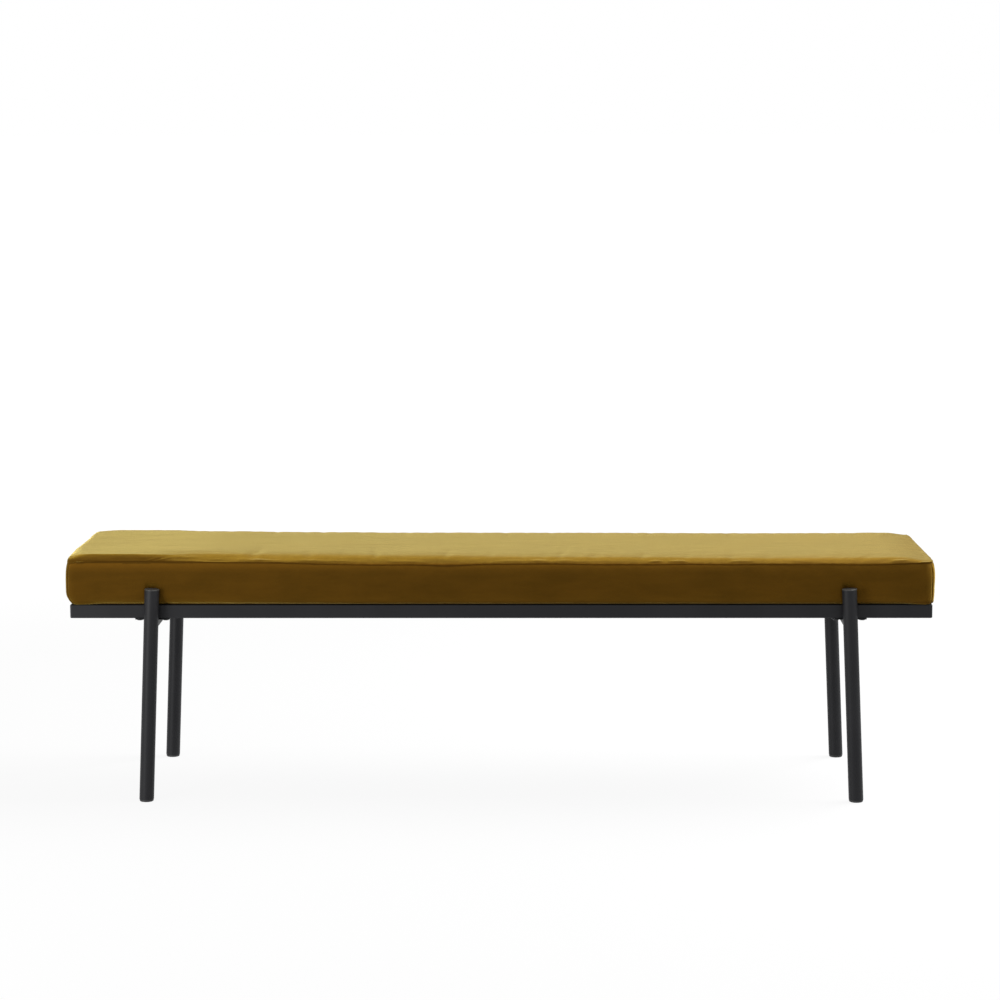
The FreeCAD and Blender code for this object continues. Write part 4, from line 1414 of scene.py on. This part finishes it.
@dataclass
class DustCover:
    """Black cloth stapled under the seat board, which sags a little between the cross rails."""

    half_length: float
    half_depth: float
    level: float
    rails: Sequence[float]
    rail_half: float
    thickness: float = 0.4 * MM
    sag: float = 2.2 * MM
    pitch: float = 95 * MM
    hang_along: float = 120 * MM
    hang_across: tuple[float, float] = (8 * MM, 90 * MM)
    wave_fade: float = 40 * MM
    flat_along: float = 40 * MM
    flat_across: tuple[float, float] = (9 * MM, 30 * MM)
    lines: tuple[int, int] = (307, 61)
    seed: int = 5

    def build(self, finish: DustCloth) -> bpy.types.Object:
        """Make the sheet.

        The cloth hangs from its stapled edge and from the cross rails that it lies on: its drop is
        the product of a bump between neighbouring rails and one between the long edges, with
        shallow waves that start at the staples.

        Args:
            finish: The cloth.

        Returns:
            The dressed piece.
        """
        across, deep = self.lines
        x, y = np.meshgrid(
            np.linspace(-self.half_length, self.half_length, across),
            np.linspace(-self.half_depth, self.half_depth, deep),
        )
        stops = np.array([-self.half_length, *self.rails, self.half_length])
        bay = np.clip(np.searchsorted(stops, x, side="right") - 1, 0, len(stops) - 2)
        from_rail = np.minimum(x - stops[bay], stops[bay + 1] - x) - self.rail_half
        edge_x = smooth(from_rail, 0, self.hang_along)
        from_edge = self.half_depth - np.abs(y)
        edge_y = smooth(from_edge, *self.hang_across)
        waves = np.sin(2 * math.pi * x / self.pitch) * np.exp(-from_edge / self.wave_fade)
        rng = np.random.default_rng(self.seed)
        cross = sum(
            rng.uniform(0.1, 0.3)
            * np.sin(rng.uniform(-60, 60) * x + rng.uniform(-50, 50) * y + turn)
            for turn in rng.uniform(0, 6, 6)
        )
        inner = smooth(from_rail, 0, self.flat_along) * smooth(from_edge, *self.flat_across)
        drop = self.sag * edge_x * edge_y + inner * (0.45 * waves + cross + 0.7) * MM
        points = np.stack([x, y, self.level - np.clip(drop, 0, None)], axis=2)
        index = np.arange(x.size).reshape(x.shape)
        piece = new_piece(
            "dust_cloth", points.reshape(-1, 3), grid_faces(index[::-1]).tolist(), finish.material()
        )
        solid = piece.modifiers.new("thickness", "SOLIDIFY")
        solid.thickness = self.thickness
        solid.offset = 0
        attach(piece, "root")
        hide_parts("dust_cover")
        return piece


@dataclass
class SteelWork:
    """The CAD pieces that keep their shape, dressed by the start of their names."""

    finishes: dict[str, bpy.types.Material]

    def dress(self) -> None:
        """Give each shown CAD piece the finish of the longest name start that fits it."""
        for name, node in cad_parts.items():
            fitting = [start for start in self.finishes if name.startswith(start)]
            if not fitting:
                continue
            material = self.finishes[max(fitting, key=len)]
            for slot in node.material_slots:
                slot.material = material
            LOG.info("%s: %s", name, material.name)


@dataclass(frozen=True)
class Lamp:
    """A square soft lamp: its name, its place, the side of its square and its watts."""

    name: str
    place: tuple[float, float, float]
    side: float
    power: float


@dataclass
class Studio:
    """Camera, floor, white surroundings and lamps."""

    camera_place: Vector = field(default_factory=lambda: Vector((0.089, -5.360, 1.254)))
    yaw: float = 0.980
    pitch: float = -7.616
    roll: float = 0.176
    focal_pixels: float = 2858
    sensor: float = 36.0
    surround: float = 0.50
    floor_shade: float = 0.48
    floor_white: float = 0.88
    floor_glow: float = 1.04
    floor_half: float = 300.0
    clear_from: float = 1.6
    clear_to: float = 3.4
    lamps: Sequence[Lamp] = (
        Lamp("overhead", (2.4, 0.8, 2.6), 2.4, 222),
        Lamp("key", (-1.9, -1.7, 0.36), 0.8, 24),
    )
    aim: tuple[float, float, float] = (0, 0, 0.35)

    def build(self) -> None:
        """Set up the whole studio."""
        self.place_camera()
        self.lay_floor()
        self.light_world()
        for lamp in self.lamps:
            self.hang(lamp)
        bpy.context.scene.view_settings.view_transform = "Standard"

    def place_camera(self) -> None:
        """Stand the camera where the photograph was taken from."""
        data = bpy.data.cameras.new("camera")
        data.sensor_width = self.sensor
        data.lens = self.focal_pixels / PICTURE_SIDE * self.sensor
        data.clip_end = 200
        camera = bpy.data.objects.new("camera", data)
        turn = (
            Matrix.Rotation(math.radians(self.yaw), 3, "Z")
            @ Matrix.Rotation(math.radians(self.pitch), 3, "X")
            @ Matrix.Rotation(math.radians(self.roll), 3, "Y")
        )
        right, ahead, up = turn.col[0], turn.col[1], turn.col[2]
        axes = Matrix((right, up, -ahead)).transposed().to_4x4()
        camera.matrix_world = Matrix.Translation(self.camera_place) @ axes
        bpy.context.scene.collection.objects.link(camera)
        bpy.context.scene.camera = camera

    def lay_floor(self) -> None:
        """A wide pale floor that keeps the bench's shadow and runs out to white."""
        half, shade = self.floor_half, self.floor_shade
        points = np.array([(-half, -half, 0), (half, -half, 0), (half, half, 0), (-half, half, 0)])
        shader = Shader(bpy.data.materials.new("floor"))
        reach = shader.node("ShaderNodeVectorMath", {"operation": "LENGTH"}, {0: shader.here()})
        far = Number(shader, reach.outputs["Value"]).ramp(self.clear_from, self.clear_to)
        cover = far * (1 - self.floor_white) + self.floor_white
        white_share = (shader.rays(Ray.CAMERA) * cover).at_least(
            shader.rays(Ray.GLOSSY, Ray.TRANSMISSION)
        )
        plain = shader.node("ShaderNodeBsdfDiffuse", {}, {"Color": (shade, shade, shade, 1)})
        white = shader.node("ShaderNodeEmission", {}, {"Strength": self.floor_glow})
        made = shader.finish(shader.blend(white_share, plain.outputs[0], white.outputs[0]))
        floor = new_piece("floor", points, [[0, 1, 2, 3]], made)

    def light_world(self) -> None:
        """Soft even light from all round, seen as plain white."""
        bpy.context.scene.world = bpy.data.worlds.new("studio")
        shader = Shader(bpy.context.scene.world)
        strength = shader.rays(*Ray) * (1 - self.surround) + self.surround
        sockets = {"Color": (1, 1, 1, 1), "Strength": strength}
        light = shader.node("ShaderNodeBackground", {}, sockets)
        shader.finish(light.outputs[0], "ShaderNodeOutputWorld")

    def hang(self, lamp: Lamp) -> None:
        """Hang a lamp that faces the middle of the bench."""
        data = bpy.data.lights.new(lamp.name, "AREA")
        data.size = lamp.side
        data.energy = lamp.power
        hung = bpy.data.objects.new(lamp.name, data)
        hung.location = lamp.place
        ahead = Vector(self.aim) - Vector(lamp.place)
        hung.rotation_euler = ahead.to_track_quat("-Z", "Y").to_euler()
        bpy.context.scene.collection.objects.link(hung)


def leg_lines() -> list[tuple[Vector, Vector]]:
    """Each leg's axis, from its foot to the top of its cap, as the frame holds it."""
    found = []
    for row in ("front", "back"):
        for side in ("left", "right"):
            foot_low, foot_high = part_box(f"foot_glide_{row}_{side}")
            cap_low, cap_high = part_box(f"leg_cap_{row}_{side}")
            foot, head = (foot_low + foot_high) / 2, (cap_low + cap_high) / 2
            foot.z, head.z = foot_low.z, cap_high.z
            found.append((foot, head))
    return found


def make_cushion() -> VelvetCushion:
    """The cushion, with its sizes read from the frame."""
    rail_low, rail_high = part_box("rail_front")
    board_low, board_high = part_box("seat_board")
    return VelvetCushion(
        half_length=rail_high.x,
        half_depth=-rail_low.y,
        base=rail_high.z,
        seam_level=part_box("cover_front_panel")[1].z,
        board_low=board_low.z,
        board_high=board_high.z,
        board_inset=rail_high.x - board_high.x,
        turn_under=45 * MM,
        legs=leg_lines(),
    )


def make_dust_cover() -> DustCover:
    """The dust cover, with its sizes read from the frame."""
    low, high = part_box("dust_cover")
    rails = [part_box(f"cross_rail_{place}") for place in ("left", "middle", "right")]
    return DustCover(
        half_length=high.x,
        half_depth=high.y,
        level=(low.z + high.z) / 2,
        rails=[(rail[0].x + rail[1].x) / 2 for rail in rails],
        rail_half=(rails[0][1].x - rails[0][0].x) / 2,
    )


def main() -> None:
    """Build the studio, dress the frame and make the soft pieces."""
    logging.basicConfig(level=logging.INFO, format="%(name)s: %(message)s")
    Studio().build()
    coat = PowderCoat().material()
    # Painted reflection: the caps get a lighter coat than the frame, for the light their tops
    # reflect.
    cap = PowderCoat("cap_coat_painted_reflection", (0.046, 0.0455, 0.044), (0.060, 0.0585, 0.0565), 0.42).material()
    zinc = ZincPlate("zinc", (0.62, 0.63, 0.66), (0.45, 0.46, 0.48), 1.0, 0.32).material()
    black, rubbed = (0.020, 0.020, 0.022), (0.035, 0.033, 0.032)
    oxide = ZincPlate("black_oxide", black, rubbed, 0.6, 0.38).material()
    steel = SteelWork(
        {
            "rail_": coat, "cross_rail_": coat, "leg_": coat, "mounting_plate_": coat,
            "leg_cap_": cap, "foot_glide_": MouldedPlastic().material(), "leg_bolts": oxide,
            "rivet_nuts": zinc, "seat_bolts": zinc, "tee_nuts": zinc, "staples": zinc,
            "seat_board": Plywood().material(),
        }
    )
    steel.dress()
    for piece in (make_cushion().build(Velvet()), make_dust_cover().build(DustCloth())):
        LOG.info("%s: %d vertices", piece.name, len(piece.data.vertices))


if __name__ == "__main__":
    main()
